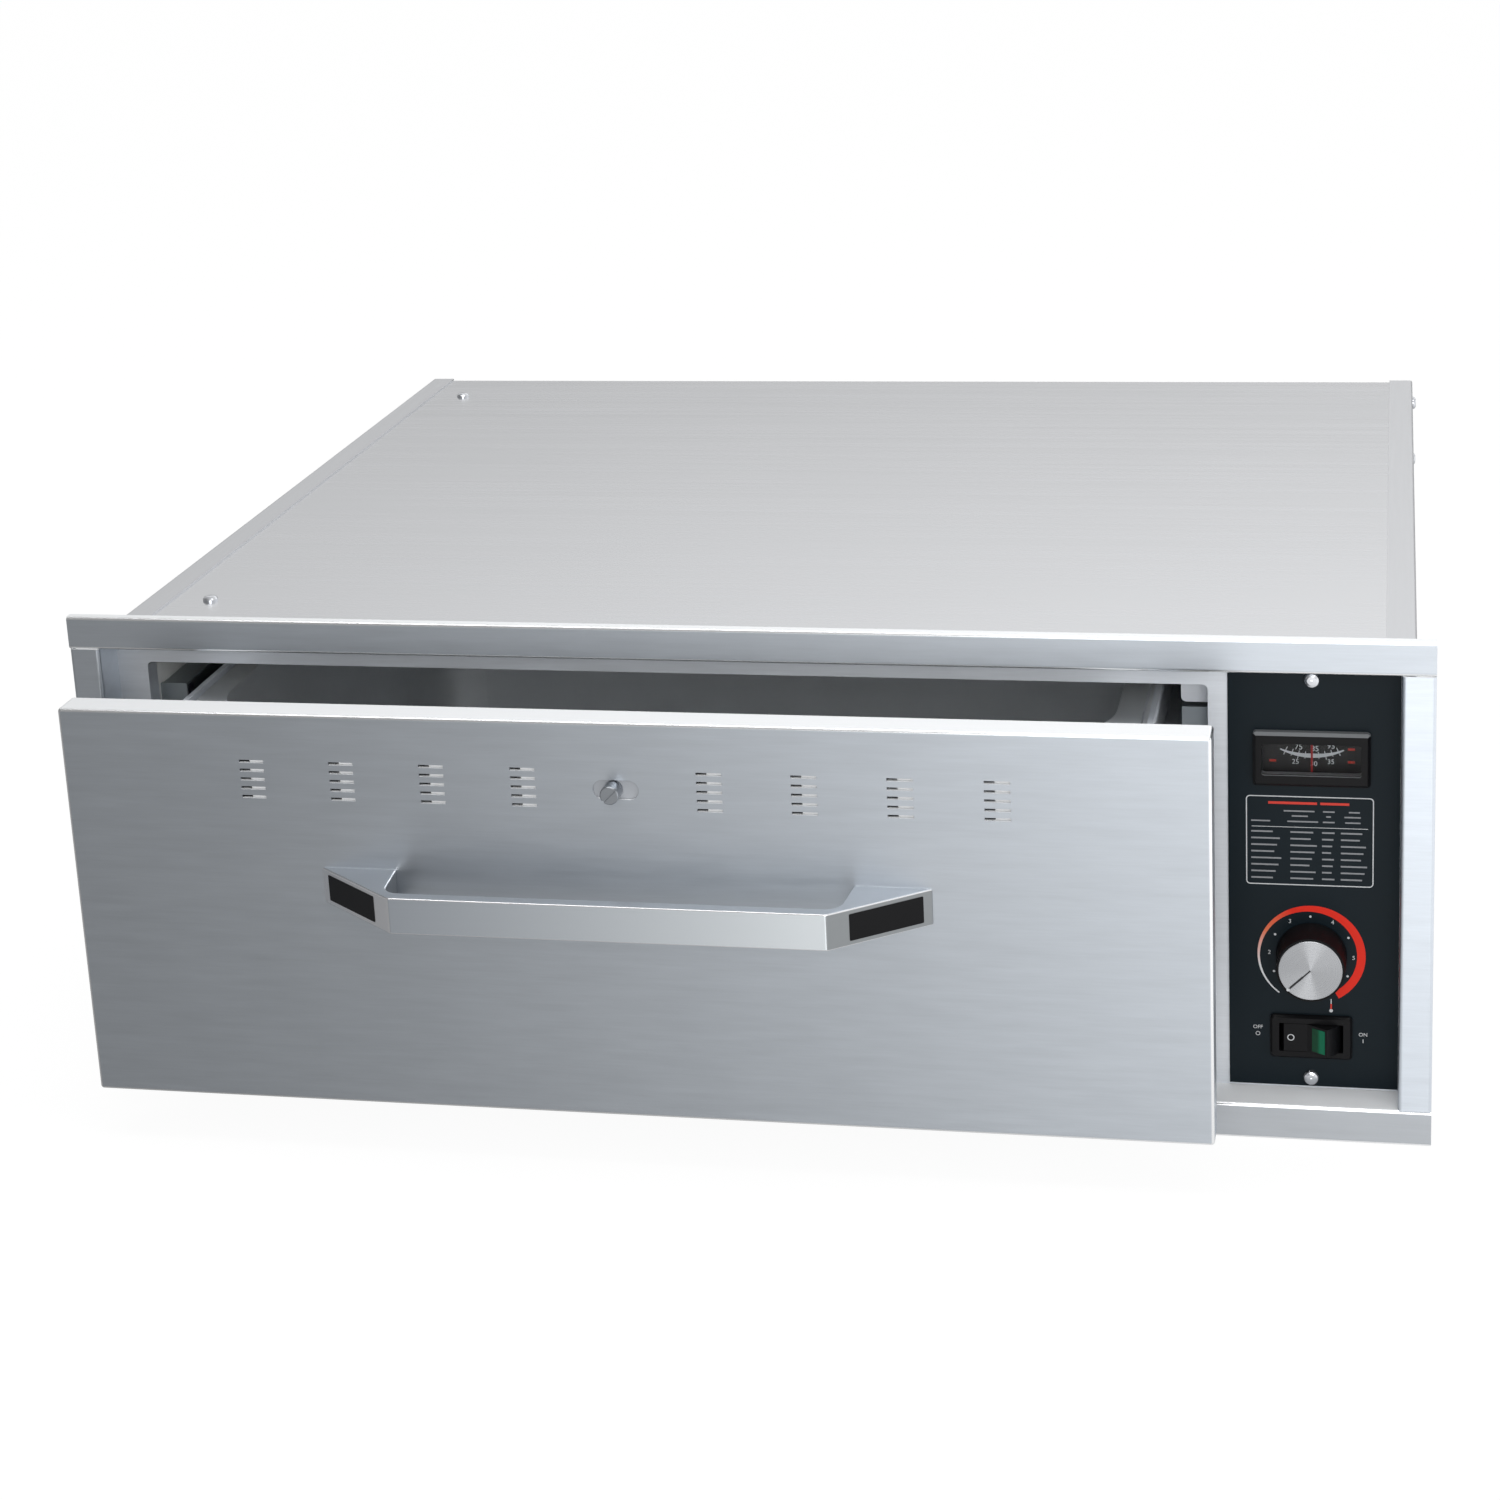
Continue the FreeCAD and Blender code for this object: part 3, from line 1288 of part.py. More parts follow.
def make_switch_body():
    """The bezel and the box behind it, with a well for the rocker and sockets for its pins."""
    front = panel_front - switch_proud
    bezel = switch_cut(switch_width, switch_height, front, panel_front, 2.2)
    back = panel_front + switch_body_depth
    bezel = bezel.makeChamfer(1.2, [edge for edge in bezel.Edges if edge.BoundBox.YMax < front + 1e-3])
    case = switch_cut(switch_body_width, switch_body_height, panel_front - 0.5, back)
    terminals = [box(panel_x + x - 3.2, panel_x + x + 3.2, back - 1, back + 9, switch_z + z - 0.4,
                     switch_z + z + 0.4) for x in (-9, 9) for z in (-5, 5)]
    well = switch_cut(switch_open_width, switch_open_height, front - 1, back - 8, 0.6)
    pins = rod(rocker_pin / 2 + 0.08, switch_pivot - vec(0, 0, rocker_half_height + 1.4), vec(0, 0, 1),
               2 * rocker_half_height + 2.8)
    return fuse([bezel, case] + terminals).cut(well).cut(pins)


switch_body = make_switch_body()


def make_rocker():
    """A rocker with two dished faces, drawn level and then turned to its off position."""
    centre_depth = rocker_tip - rocker_half * math.tan(math.radians(rocker_angle))
    low = 7.0
    low_half = math.sqrt(rocker_radius ** 2 - low ** 2)
    left_tip = vec(-rocker_half, -rocker_tip, 0)
    right_tip = vec(rocker_half, -rocker_tip, 0)
    centre = vec(0, -centre_depth, 0)
    edges = [
        Part.makeLine(left_tip, centre),
        Part.makeLine(centre, right_tip),
        Part.Arc(right_tip, vec(rocker_radius, 0, 0), vec(low_half, low, 0)).toShape(),
        Part.makeLine(vec(low_half, low, 0), vec(-low_half, low, 0)),
        Part.Arc(vec(-low_half, low, 0), vec(-rocker_radius, 0, 0), left_tip).toShape(),
    ]
    body = along_z(Part.Face(Part.Wire(edges)), -rocker_half_height, rocker_half_height)
    pins = rod(rocker_pin / 2, vec(0, 0, -rocker_half_height - 1.1), vec(0, 0, 1), 2 * rocker_half_height + 2.2)
    body = fuse([body, pins])
    body.translate(switch_pivot)
    return body


def make_lens():
    """The clear green bar let into the rocker's right face, beside its tip."""
    angle = math.radians(rocker_angle)
    lens = Part.makeBox(switch_lens_width, 1.6, 2 * rocker_half_height - 2.4,
                        vec(-switch_lens_width - 1.4, -0.2, 1.2 - rocker_half_height))
    lens.rotate(vec(0, 0, 0), vec(0, 0, 1), -math.degrees(angle))
    lens.translate(switch_pivot + vec(rocker_half, -rocker_tip, 0))
    return lens


level_lens = make_lens()
switch_rocker = turned(make_rocker().cut(level_lens), -rocker_angle, switch_pivot)
switch_lens = turned(level_lens, -rocker_angle, switch_pivot)

# Pan-head screws of the cabinet: sides to rear panel, top to hanger strip, control panel to face panel
cabinet_screws = group(
    [pan_head_screw(place, vec(-1, 0, 0), 6.0) for place in side_screws_left]
    + [pan_head_screw(place, vec(1, 0, 0), 6.0) for place in side_screws_right]
    + [pan_head_screw(place, vec(0, 0, 1), 6.0) for place in top_screws]
    + [pan_head_screw(place, vec(0, -1, 0), 6.0) for place in panel_screw_places])

nodes = {
    "trim_top_rail": trim_top_rail,
    "trim_bottom_rail": trim_bottom_rail,
    "trim_left_stile": trim_left_stile,
    "trim_right_stile": trim_right_stile,
    "face_panel": face_panel,
    "left_side_panel": left_side_panel,
    "right_side_panel": right_side_panel,
    "top_panel": top_panel,
    "bottom_panel": bottom_panel,
    "rear_panel": rear_panel,
    "cord_bushing": cord_bushing,
    "cabinet_screws": cabinet_screws,
    "cavity_liner": cavity_liner,
    "liner_hanger": liner_hanger,
    "partition": partition,
    "insulation_top": insulation_top,
    "insulation_bottom": insulation_bottom,
    "insulation_rear": insulation_rear,
    "insulation_right": insulation_right,
    "heating_element": heating_element,
    "element_supports": element_supports,
    "thermostat_bulb": thermostat_bulb,
    "thermometer_bulb": thermometer_bulb,
    "bulb_guard": bulb_guard,
    "cabinet_track_left": cabinet_track_left,
    "cabinet_track_right": cabinet_track_right,
    "track_rivets": track_rivets,
    "front_roller_left": front_roller_left,
    "front_roller_right": front_roller_right,
    "front_roller_pins": front_roller_pins,
    "drawer_runner_left": drawer_runner_left,
    "drawer_runner_right": drawer_runner_right,
    "rear_roller_left": rear_roller_left,
    "rear_roller_right": rear_roller_right,
    "rear_roller_pins": rear_roller_pins,
    "pan_frame": pan_frame,
    "food_pan": food_pan,
    "drawer_front": drawer_front,
    "drawer_front_back": drawer_front_back,
    "drawer_screws": drawer_screws,
    "damper_plate": damper_plate,
    "damper_guides": damper_guides,
    "damper_knob": damper_knob,
    "damper_nut": damper_nut,
    "handle": handle,
    "handle_inserts": handle_inserts,
    "control_panel": control_panel,
    "thermometer_bezel": thermometer_bezel,
    "thermometer_lens": thermometer_lens,
    "thermometer_case": thermometer_case,
    "thermometer_dial": thermometer_dial,
    "thermometer_pointer": thermometer_pointer,
    "thermostat_body": thermostat_body,
    "thermostat_nut": thermostat_nut,
    "thermostat_spindle": thermostat_spindle,
    "knob_body": knob_body,
    "knob_cap": knob_cap,
    "switch_body": switch_body,
    "switch_rocker": switch_rocker,
    "switch_lens": switch_lens,
}

# The origin goes under the middle of the whole drawer as drawn, from the handle to the bushing
handle_front = front_y - handle_depth
bushing_back = body_depth - body_sheet + bushing_flange
origin_y = (handle_front + bushing_back) / 2
os.makedirs("parts", exist_ok=True)
for name, shape in nodes.items():
    shape.translate(vec(0, -origin_y, 0))
    if not shape.isValid():
        print("not valid:", name)
    shape.exportStep("parts/" + name + ".step")
print(len(nodes), "nodes")
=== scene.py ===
import bpy
import math
import numpy as np
from mathutils import Matrix, Vector


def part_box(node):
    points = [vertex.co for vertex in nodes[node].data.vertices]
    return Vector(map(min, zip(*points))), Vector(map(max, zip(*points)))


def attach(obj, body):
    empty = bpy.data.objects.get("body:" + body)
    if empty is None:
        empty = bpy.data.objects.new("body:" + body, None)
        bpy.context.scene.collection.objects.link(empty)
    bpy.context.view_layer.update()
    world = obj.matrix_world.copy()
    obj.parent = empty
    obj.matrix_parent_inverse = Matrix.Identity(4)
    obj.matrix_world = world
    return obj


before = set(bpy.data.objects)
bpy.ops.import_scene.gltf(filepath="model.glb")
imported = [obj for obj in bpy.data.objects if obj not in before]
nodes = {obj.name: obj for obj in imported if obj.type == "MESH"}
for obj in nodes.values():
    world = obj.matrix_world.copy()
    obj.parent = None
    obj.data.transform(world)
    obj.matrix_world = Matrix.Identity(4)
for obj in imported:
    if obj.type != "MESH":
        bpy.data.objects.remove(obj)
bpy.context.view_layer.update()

# Camera at the photograph's place: above the front, almost in line with the cabinet's right side.
# Its place is measured from the trim's front face in metres, and its angles are in radians.
trim_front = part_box("trim_top_rail")[0].y
camera_place = Vector((0.3504, trim_front - 1.4704, 0.7757))
camera_heading = 0.205
camera_dip = -0.2657
camera_roll = -0.046
camera_data = bpy.data.cameras.new("camera")
camera_data.sensor_width = 36.0
camera_data.lens = 71.36
camera_data.shift_x = -0.03
camera_data.shift_y = -0.18
camera = bpy.data.objects.new("camera", camera_data)
bpy.context.scene.collection.objects.link(camera)
camera.matrix_world = (Matrix.Translation(camera_place) @ Matrix.Rotation(camera_heading, 4, "Z")
                       @ Matrix.Rotation(math.pi / 2 + camera_dip, 4, "X")
                       @ Matrix.Rotation(camera_roll, 4, "Z"))
bpy.context.scene.camera = camera


# Studio: a wide pale floor, a pale room that is darker in front to the left, and two soft lamps.
# The room is white to the camera, and the floor is white to the camera and to clear plastic. To
# polished metal the floor glows instead with a painted gradient of light, dim at the front-left and
# brighter than white at the right. The floor keeps a share of its paint, and so the part's shadow.
def add_node(tree, kind, **settings):
    """A node of a tree with its settings and its unlinked input values."""
    node = tree.nodes.new(kind)
    for key, value in settings.items():
        if key == "inputs":
            for socket, content in value.items():
                node.inputs[socket].default_value = content
        else:
            setattr(node, key, value)
    return node


def wire(tree, *links):
    """Links each source and its output to a target and its input."""
    for source, output, target, into in links:
        tree.links.new(source.outputs[output], target.inputs[into])


def smooth_step(tree, start, stop, low=0.0, high=1.0):
    """A value that eases from low to high while its input runs from start to stop."""
    return add_node(tree, "ShaderNodeMapRange", interpolation_type="SMOOTHSTEP",
                    inputs={"From Min": start, "From Max": stop, "To Min": low, "To Max": high})


def along_direction(tree, direction):
    """The share of a vector that lies along a direction, as a dot product."""
    node = add_node(tree, "ShaderNodeVectorMath", operation="DOT_PRODUCT")
    node.inputs[1].default_value = direction
    return node


bpy.context.scene.view_settings.view_transform = "Standard"
camera_white = 1.02
room = bpy.data.worlds.new("room")
bpy.context.scene.world = room
room.use_nodes = True
tree = room.node_tree
tree.nodes.clear()
looking = add_node(tree, "ShaderNodeTexCoord")
rays = add_node(tree, "ShaderNodeLightPath")
to_the_right = along_direction(tree, (1.0, 0.25, 0.0))
across = smooth_step(tree, -0.80, 0.35, 0.30, 1.0)
upward = along_direction(tree, (0.0, -0.5, 1.0))
rising = smooth_step(tree, -0.28, -0.12, 0.50, 1.65)
falling = smooth_step(tree, 0.0, 0.5, 1.0, 0.62)
walls = add_node(tree, "ShaderNodeMath", operation="MULTIPLY")
ceiling = add_node(tree, "ShaderNodeMath", operation="MULTIPLY")
shown = add_node(tree, "ShaderNodeMix", data_type="FLOAT", inputs={3: camera_white})
glow = add_node(tree, "ShaderNodeBackground")
out = add_node(tree, "ShaderNodeOutputWorld")
wire(tree, (looking, "Generated", to_the_right, 0), (to_the_right, "Value", across, "Value"),
     (looking, "Generated", upward, 0), (upward, "Value", rising, "Value"),
     (upward, "Value", falling, "Value"), (across, "Result", walls, 0), (rising, "Result", walls, 1),
     (walls, "Value", ceiling, 0), (falling, "Result", ceiling, 1), (rays, "Is Camera Ray", shown, 0),
     (ceiling, "Value", shown, 2), (shown, 0, glow, "Strength"), (glow, "Background", out, "Surface"))

floor_half = 16.0
floor_white = 1.05
floor_share = 0.9
floor_corners = [(-floor_half, -floor_half, 0), (floor_half, -floor_half, 0),
                 (floor_half, floor_half, 0), (-floor_half, floor_half, 0)]
floor_mesh = bpy.data.meshes.new("floor")
floor_mesh.from_pydata(floor_corners, [], [(0, 1, 2, 3)])
floor = bpy.data.objects.new("floor", floor_mesh)
bpy.context.scene.collection.objects.link(floor)
floor_paint = bpy.data.materials.new("floor_paint")
floor_paint.use_nodes = True
tree = floor_paint.node_tree
tree.nodes.clear()
rays = add_node(tree, "ShaderNodeLightPath")
place = add_node(tree, "ShaderNodeTexCoord")
# To reflections the floor glows with a painted gradient of light, dim at the front-left and brighter than
# white at the right.
to_the_right = along_direction(tree, (1.0, -0.44, 0.0))
glossy_glow_ramp = smooth_step(tree, -0.25, 1.1, 0.28, 1.3)
seen = add_node(tree, "ShaderNodeMath", operation="MAXIMUM")
mirrored = add_node(tree, "ShaderNodeMath", operation="MAXIMUM")
share = add_node(tree, "ShaderNodeMath", operation="MULTIPLY", inputs={1: floor_share})
paint = add_node(tree, "ShaderNodeBsdfDiffuse", inputs={"Color": (0.80, 0.80, 0.80, 1)})
level = add_node(tree, "ShaderNodeMix", data_type="FLOAT", inputs={2: floor_white})
white = add_node(tree, "ShaderNodeEmission", inputs={"Color": (1, 1, 1, 1)})
mix = add_node(tree, "ShaderNodeMixShader")
out = add_node(tree, "ShaderNodeOutputMaterial")
wire(tree, (rays, "Is Camera Ray", seen, 0), (rays, "Is Transmission Ray", seen, 1),
     (seen, "Value", mirrored, 0), (rays, "Is Glossy Ray", mirrored, 1), (mirrored, "Value", share, 0),
     (share, "Value", mix, "Fac"), (place, "Object", to_the_right, 0),
     (to_the_right, "Value", glossy_glow_ramp, "Value"), (rays, "Is Glossy Ray", level, 0), (glossy_glow_ramp, "Result", level, 3),
     (level, 0, white, "Strength"), (paint, "BSDF", mix, 1), (white, "Emission", mix, 2),
     (mix, "Shader", out, "Surface"))
floor_mesh.materials.append(floor_paint)


def softbox(name, place, target, width, height, power):
    """A rectangular lamp at a place, facing a target."""
    lamp = bpy.data.lights.new(name, "AREA")
    lamp.shape = "RECTANGLE"
    lamp.size = width
    lamp.size_y = height
    lamp.energy = power
    holder = bpy.data.objects.new(name, lamp)
    bpy.context.scene.collection.objects.link(holder)
    facing = (Vector(target) - Vector(place)).to_track_quat("-Z", "Y")
    holder.matrix_world = Matrix.Translation(place) @ facing.to_matrix().to_4x4()
    holder.visible_camera = False


softbox("key_lamp", place=(0.5, trim_front - 2.4, 1.0), target=(0.2, trim_front, 0.15), width=1.3,
        height=1.5, power=19.0)
softbox("top_lamp", place=(0.0, trim_front - 0.55, 2.4), target=(0.0, trim_front + 0.1, 0.2), width=2.4,
        height=0.55, power=15.0)


# Cabinet: sides, top, bottom and back of thin stainless sheet, folded and screwed into a box.
# The sheet is brushed finely before folding: level on the top, front to back on the sides.
def shader_group(name, inputs, outputs):
    """An empty node group with named float, vector or colour sockets, its input and its output node."""
    group = bpy.data.node_groups.new(name, "ShaderNodeTree")
    kinds = {"float": "NodeSocketFloat", "vector": "NodeSocketVector", "color": "NodeSocketColor"}
    for label, (kind, value) in inputs.items():
        socket = group.interface.new_socket(name=label, in_out="INPUT", socket_type=kinds[kind])
        socket.default_value = value
    for label, kind in outputs.items():
        group.interface.new_socket(name=label, in_out="OUTPUT", socket_type=kinds[kind])
    return group, add_node(group, "NodeGroupInput"), add_node(group, "NodeGroupOutput")


def make_brushed_grain():
    """Brushed strokes: noise stretched along one axis by unequal scales, in a fine and a coarse layer.
    The strokes lighten and darken the colour, roughen the surface and give the bump its height."""
    group, given, result = shader_group(
        "brushed_grain",
        {"Color": ("color", (0.5, 0.5, 0.5, 1)), "Stroke Scale": ("vector", (6, 900, 900)),
         "Contrast": ("float", 0.12), "Roughness": ("float", 0.32), "Smudge": ("float", 0.04)},
        {"Color": "color", "Roughness": "float", "Height": "float"})
    place = add_node(group, "ShaderNodeTexCoord")
    stretch = add_node(group, "ShaderNodeVectorMath", operation="MULTIPLY")
    fine = add_node(group, "ShaderNodeTexNoise", inputs={"Scale": 1.0, "Detail": 3.0, "Roughness": 0.7})
    half = add_node(group, "ShaderNodeVectorMath", operation="MULTIPLY")
    half.inputs[1].default_value = (0.5, 0.22, 0.22)
    coarse = add_node(group, "ShaderNodeTexNoise", inputs={"Scale": 1.0, "Detail": 2.0, "Roughness": 0.5})
    cloud = add_node(group, "ShaderNodeTexNoise", inputs={"Scale": 7.0, "Detail": 3.0, "Roughness": 0.55})
    both = add_node(group, "ShaderNodeMath", operation="ADD")
    middle = add_node(group, "ShaderNodeMath", operation="SUBTRACT", inputs={1: 1.0})
    tone = add_node(group, "ShaderNodeMath", operation="MULTIPLY")
    lightness = add_node(group, "ShaderNodeMath", operation="ADD", inputs={1: 1.0})
    lit = add_node(group, "ShaderNodeVectorMath", operation="SCALE")
    cloud_middle = add_node(group, "ShaderNodeMath", operation="SUBTRACT", inputs={1: 0.5})
    cloud_share = add_node(group, "ShaderNodeMath", operation="MULTIPLY")
    rough = add_node(group, "ShaderNodeMath", operation="ADD")
    rough_stroke = add_node(group, "ShaderNodeMath", operation="MULTIPLY_ADD", inputs={1: 0.08})
    wire(group,
         (place, "Object", stretch, 0), (given, "Stroke Scale", stretch, 1), (stretch, 0, fine, "Vector"),
         (stretch, 0, half, 0), (half, 0, coarse, "Vector"), (place, "Object", cloud, "Vector"),
         (fine, "Fac", both, 0), (coarse, "Fac", both, 1), (both, 0, middle, 0), (middle, 0, tone, 0),
         (given, "Contrast", tone, 1), (tone, 0, lightness, 0), (given, "Color", lit, 0),
         (lightness, 0, lit, "Scale"), (cloud, "Fac", cloud_middle, 0), (cloud_middle, 0, cloud_share, 0),
         (given, "Smudge", cloud_share, 1), (given, "Roughness", rough, 0), (cloud_share, 0, rough, 1),
         (middle, 0, rough_stroke, 0), (rough, 0, rough_stroke, 2), (lit, 0, result, "Color"),
         (rough_stroke, 0, result, "Roughness"), (both, 0, result, "Height"))
    return group


brushed_grain = make_brushed_grain()


def shiny(name, metallic, **constants):
    """A material with one Principled shader, its own constants set on its sockets."""
    material = bpy.data.materials.new(name)
    material.use_nodes = True
    tree = material.node_tree
    shader = tree.nodes["Principled BSDF"]
    shader.inputs["Metallic"].default_value = metallic
    for socket, value in constants.items():
        shader.inputs[socket.replace("_", " ")].default_value = value
    return material, tree, shader


def brushed(name, color, strokes, contrast=0.12, roughness=0.32, smudge=0.04, depth=0.008, spread=0.0,
            metallic=1.0):
    """Brushed metal with strokes stretched by unequal scales, a colour, a roughness and a shallow bump,
    its depth in millimetres. The strokes run along the axis of their smallest scale and spread
    reflections across themselves."""
    material, tree, shader = shiny(name, metallic, Anisotropic=spread)
    if spread:
        facing = add_node(tree, "ShaderNodeNewGeometry")
        crossed = add_node(tree, "ShaderNodeVectorMath", operation="CROSS_PRODUCT")
        crossed.inputs[1].default_value = [1.0 if scale == min(strokes) else 0.02 for scale in strokes]
        wire(tree, (facing, "Normal", crossed, 0), (crossed, 0, shader, "Tangent"))
    grain = add_node(tree, "ShaderNodeGroup", node_tree=brushed_grain,
                     inputs={"Color": (*color, 1), "Stroke Scale": strokes, "Contrast": contrast,
                             "Roughness": roughness, "Smudge": smudge})
    bump = add_node(tree, "ShaderNodeBump", inputs={"Strength": 0.35, "Distance": depth / 1000})
    wire(tree, (grain, "Color", shader, "Base Color"), (grain, "Roughness", shader, "Roughness"),
         (grain, "Height", bump, "Height"), (bump, "Normal", shader, "Normal"))
    return material


def dress(material, *names):
    """Gives CAD nodes a material in all their slots."""
    for name in names:
        if not nodes[name].material_slots:
            nodes[name].data.materials.append(material)
        for slot in nodes[name].material_slots:
            slot.material = material


top_steel = brushed("top_steel", (0.69, 0.70, 0.72), (5.0, 1500.0, 1500.0), contrast=0.07, roughness=0.26,
                    depth=0.012)
side_steel = brushed("side_steel", (0.66, 0.67, 0.69), (1000.0, 45.0, 1000.0), contrast=0.08,
                     roughness=0.34, depth=0.012)
dress(top_steel, "top_panel", "bottom_panel", "rear_panel")
dress(side_steel, "left_side_panel", "right_side_panel")


# Supply bushing: a black rubber ring pressed into the hole of the rear panel.
# The blacks of the controls are moulded plastic with the same fine spark texture.
def moulded(name, color, roughness, spark_scale, depth, gleam=0.5):
    """Moulded plastic: a fine spark texture in the bump, its depth in millimetres, and a slow drift of
    the gloss and the shade."""
    material, tree, shader = shiny(name, 0.0, Specular_IOR_Level=gleam)
    shadow = [part * 0.85 for part in color]
    place = add_node(tree, "ShaderNodeTexCoord")
    spark = add_node(tree, "ShaderNodeTexNoise",
                     inputs={"Scale": spark_scale, "Detail": 2.0, "Roughness": 0.6})
    drift = add_node(tree, "ShaderNodeTexNoise", inputs={"Scale": 30.0, "Detail": 2.0})
    gloss = add_node(tree, "ShaderNodeMapRange",
                     inputs={"To Min": roughness - 0.07, "To Max": roughness + 0.07})
    shade = add_node(tree, "ShaderNodeMixRGB", inputs={"Color1": (*shadow, 1), "Color2": (*color, 1)})
    bump = add_node(tree, "ShaderNodeBump", inputs={"Strength": 0.4, "Distance": depth / 1000})
    wire(tree, (place, "Object", spark, "Vector"), (place, "Object", drift, "Vector"),
         (drift, "Fac", gloss, "Value"), (drift, "Fac", shade, "Fac"),
         (shade, "Color", shader, "Base Color"), (gloss, "Result", shader, "Roughness"),
         (spark, "Fac", bump, "Height"), (bump, "Normal", shader, "Normal"))
    return material


rubber = moulded("rubber", (0.022, 0.022, 0.023), roughness=0.6, spark_scale=1800.0, depth=0.03)
dress(rubber, "cord_bushing")

# Insulation: blankets of mineral wool laid between the warm cavity and the cabinet.
# The fibres are matted, in tones from straw to brown.
wool, tree, shader = shiny("mineral_wool", 0.0, Roughness=0.95)
place = add_node(tree, "ShaderNodeTexCoord")
tuft = add_node(tree, "ShaderNodeTexNoise", inputs={"Scale": 120.0, "Detail": 8.0, "Roughness": 0.75})
straw = add_node(tree, "ShaderNodeMixRGB",
                 inputs={"Color1": (0.42, 0.38, 0.24, 1), "Color2": (0.68, 0.64, 0.48, 1)})
bump = add_node(tree, "ShaderNodeBump", inputs={"Strength": 0.8, "Distance": 0.002})
wire(tree, (place, "Object", tuft, "Vector"), (tuft, "Fac", straw, "Fac"),
     (straw, "Color", shader, "Base Color"), (tuft, "Fac", bump, "Height"),
     (bump, "Normal", shader, "Normal"))
dress(wool, "insulation_top", "insulation_bottom", "insulation_rear", "insulation_right")

# Warm cavity: a folded liner of mill-finish sheet, with the element's supports fixed in it.
# Its surface has coarse rolling marks, and its near-white tone with a large diffuse share is partly painted
# light, lifting the shade of the closed cavity.
liner_steel = brushed("liner_steel", (0.92, 0.925, 0.90), (30.0, 260.0, 260.0), contrast=0.06,
                      roughness=0.80, smudge=0.10, metallic=0.4)
dress(liner_steel, "cavity_liner", "element_supports")


# Heating element and sensing bulbs: an oxidised steel sheath, and drawn copper with its capillaries.
# They lie in the warm cavity, the element on its supports and the bulbs behind their guard.
def plated(name, color, roughness):
    """Plated or drawn metal: cloudy noise varies the tint and the gloss."""
    material, tree, shader = shiny(name, 1.0)
    bluish = (color[0] * 0.86, color[1] * 0.88, color[2] * 0.92)
    place = add_node(tree, "ShaderNodeTexCoord")
    bloom = add_node(tree, "ShaderNodeTexNoise", inputs={"Scale": 45.0, "Detail": 4.0, "Roughness": 0.6})
    tint = add_node(tree, "ShaderNodeMixRGB", inputs={"Color1": (*bluish, 1), "Color2": (*color, 1)})
    gloss = add_node(tree, "ShaderNodeMapRange",
                     inputs={"To Min": roughness - 0.06, "To Max": roughness + 0.08})
    wire(tree, (place, "Object", bloom, "Vector"), (bloom, "Fac", tint, "Fac"),
         (bloom, "Fac", gloss, "Value"), (tint, "Color", shader, "Base Color"),
         (gloss, "Result", shader, "Roughness"))
    return material


dress(plated("element_sheath", (0.20, 0.185, 0.18), roughness=0.5), "heating_element")
dress(plated("bulb_copper", (0.72, 0.43, 0.26), roughness=0.3), "thermostat_bulb", "thermometer_bulb")

# Hanger, partition and fasteners: zinc-plated strip, and screws and rivets with a bright plating.
# They carry the liner, part off the controls, and join the cabinet, the drawer and the tracks.
strip_zinc = plated("strip_zinc", (0.76, 0.78, 0.81), roughness=0.50)
bright_zinc = plated("bright_zinc", (0.74, 0.75, 0.77), roughness=0.22)
dress(strip_zinc, "liner_hanger", "partition")
dress(bright_zinc, "cabinet_screws", "drawer_screws", "track_rivets")


# Trim frame and recessed face panel: stainless sheet brushed in long level strokes and then folded.
# Bends get a painted highlight, a near-white tone with lower roughness, and the narrow folds that face
# upward get painted light, a pale tone with high roughness.
def make_fold_masks():
    """Masks from a face's direction: Bend is 1 where it lies between the axes (a band of its upward
    share, and a band of its sideways share times Corner), and Level is 1 where it looks straight up."""
    group, given, result = shader_group("fold_masks", {"Corner": ("float", 1.0)},
                                        {"Bend": "float", "Level": "float"})
    facing = add_node(group, "ShaderNodeNewGeometry")
    size = add_node(group, "ShaderNodeVectorMath", operation="ABSOLUTE")
    parts = add_node(group, "ShaderNodeSeparateXYZ")
    upward = add_node(group, "ShaderNodeSeparateXYZ")
    level = smooth_step(group, 0.80, 0.98)
    wire(group, (facing, "Normal", size, 0), (size, 0, parts, "Vector"),
         (facing, "Normal", upward, "Vector"), (upward, "Z", level, "Value"),
         (level, "Result", result, "Level"))
    bands = []
    for axis in "ZX":
        begun = smooth_step(group, 0.12, 0.35)
        ended = smooth_step(group, 0.90, 0.99, 1.0, 0.0)
        within = add_node(group, "ShaderNodeMath", operation="MULTIPLY")
        wire(group, (parts, axis, begun, "Value"), (parts, axis, ended, "Value"),
             (begun, "Result", within, 0), (ended, "Result", within, 1))
        bands.append(within)
    corner = add_node(group, "ShaderNodeMath", operation="MULTIPLY")
    bend = add_node(group, "ShaderNodeMath", operation="MAXIMUM")
    wire(group, (bands[1], 0, corner, 0), (given, "Corner", corner, 1), (bands[0], 0, bend, 0),
         (corner, 0, bend, 1), (bend, 0, result, "Bend"))
    return group


# The masks carry painted light: a painted highlight on bends and pale painted light on faces that look up.
fold_masks = make_fold_masks()
level_strokes = (45.0, 1000.0, 1000.0)
painted_bend_highlight_tone = (0.95, 0.96, 0.97)
bend_roughness = 0.24
painted_top_light_tone = (0.93, 0.94, 0.95)
top_face_roughness = 0.9


def toward(tree, color):
    """A mix from a colour that is wired in to a fixed one."""
    return add_node(tree, "ShaderNodeMixRGB", inputs={"Color2": (*color, 1)})


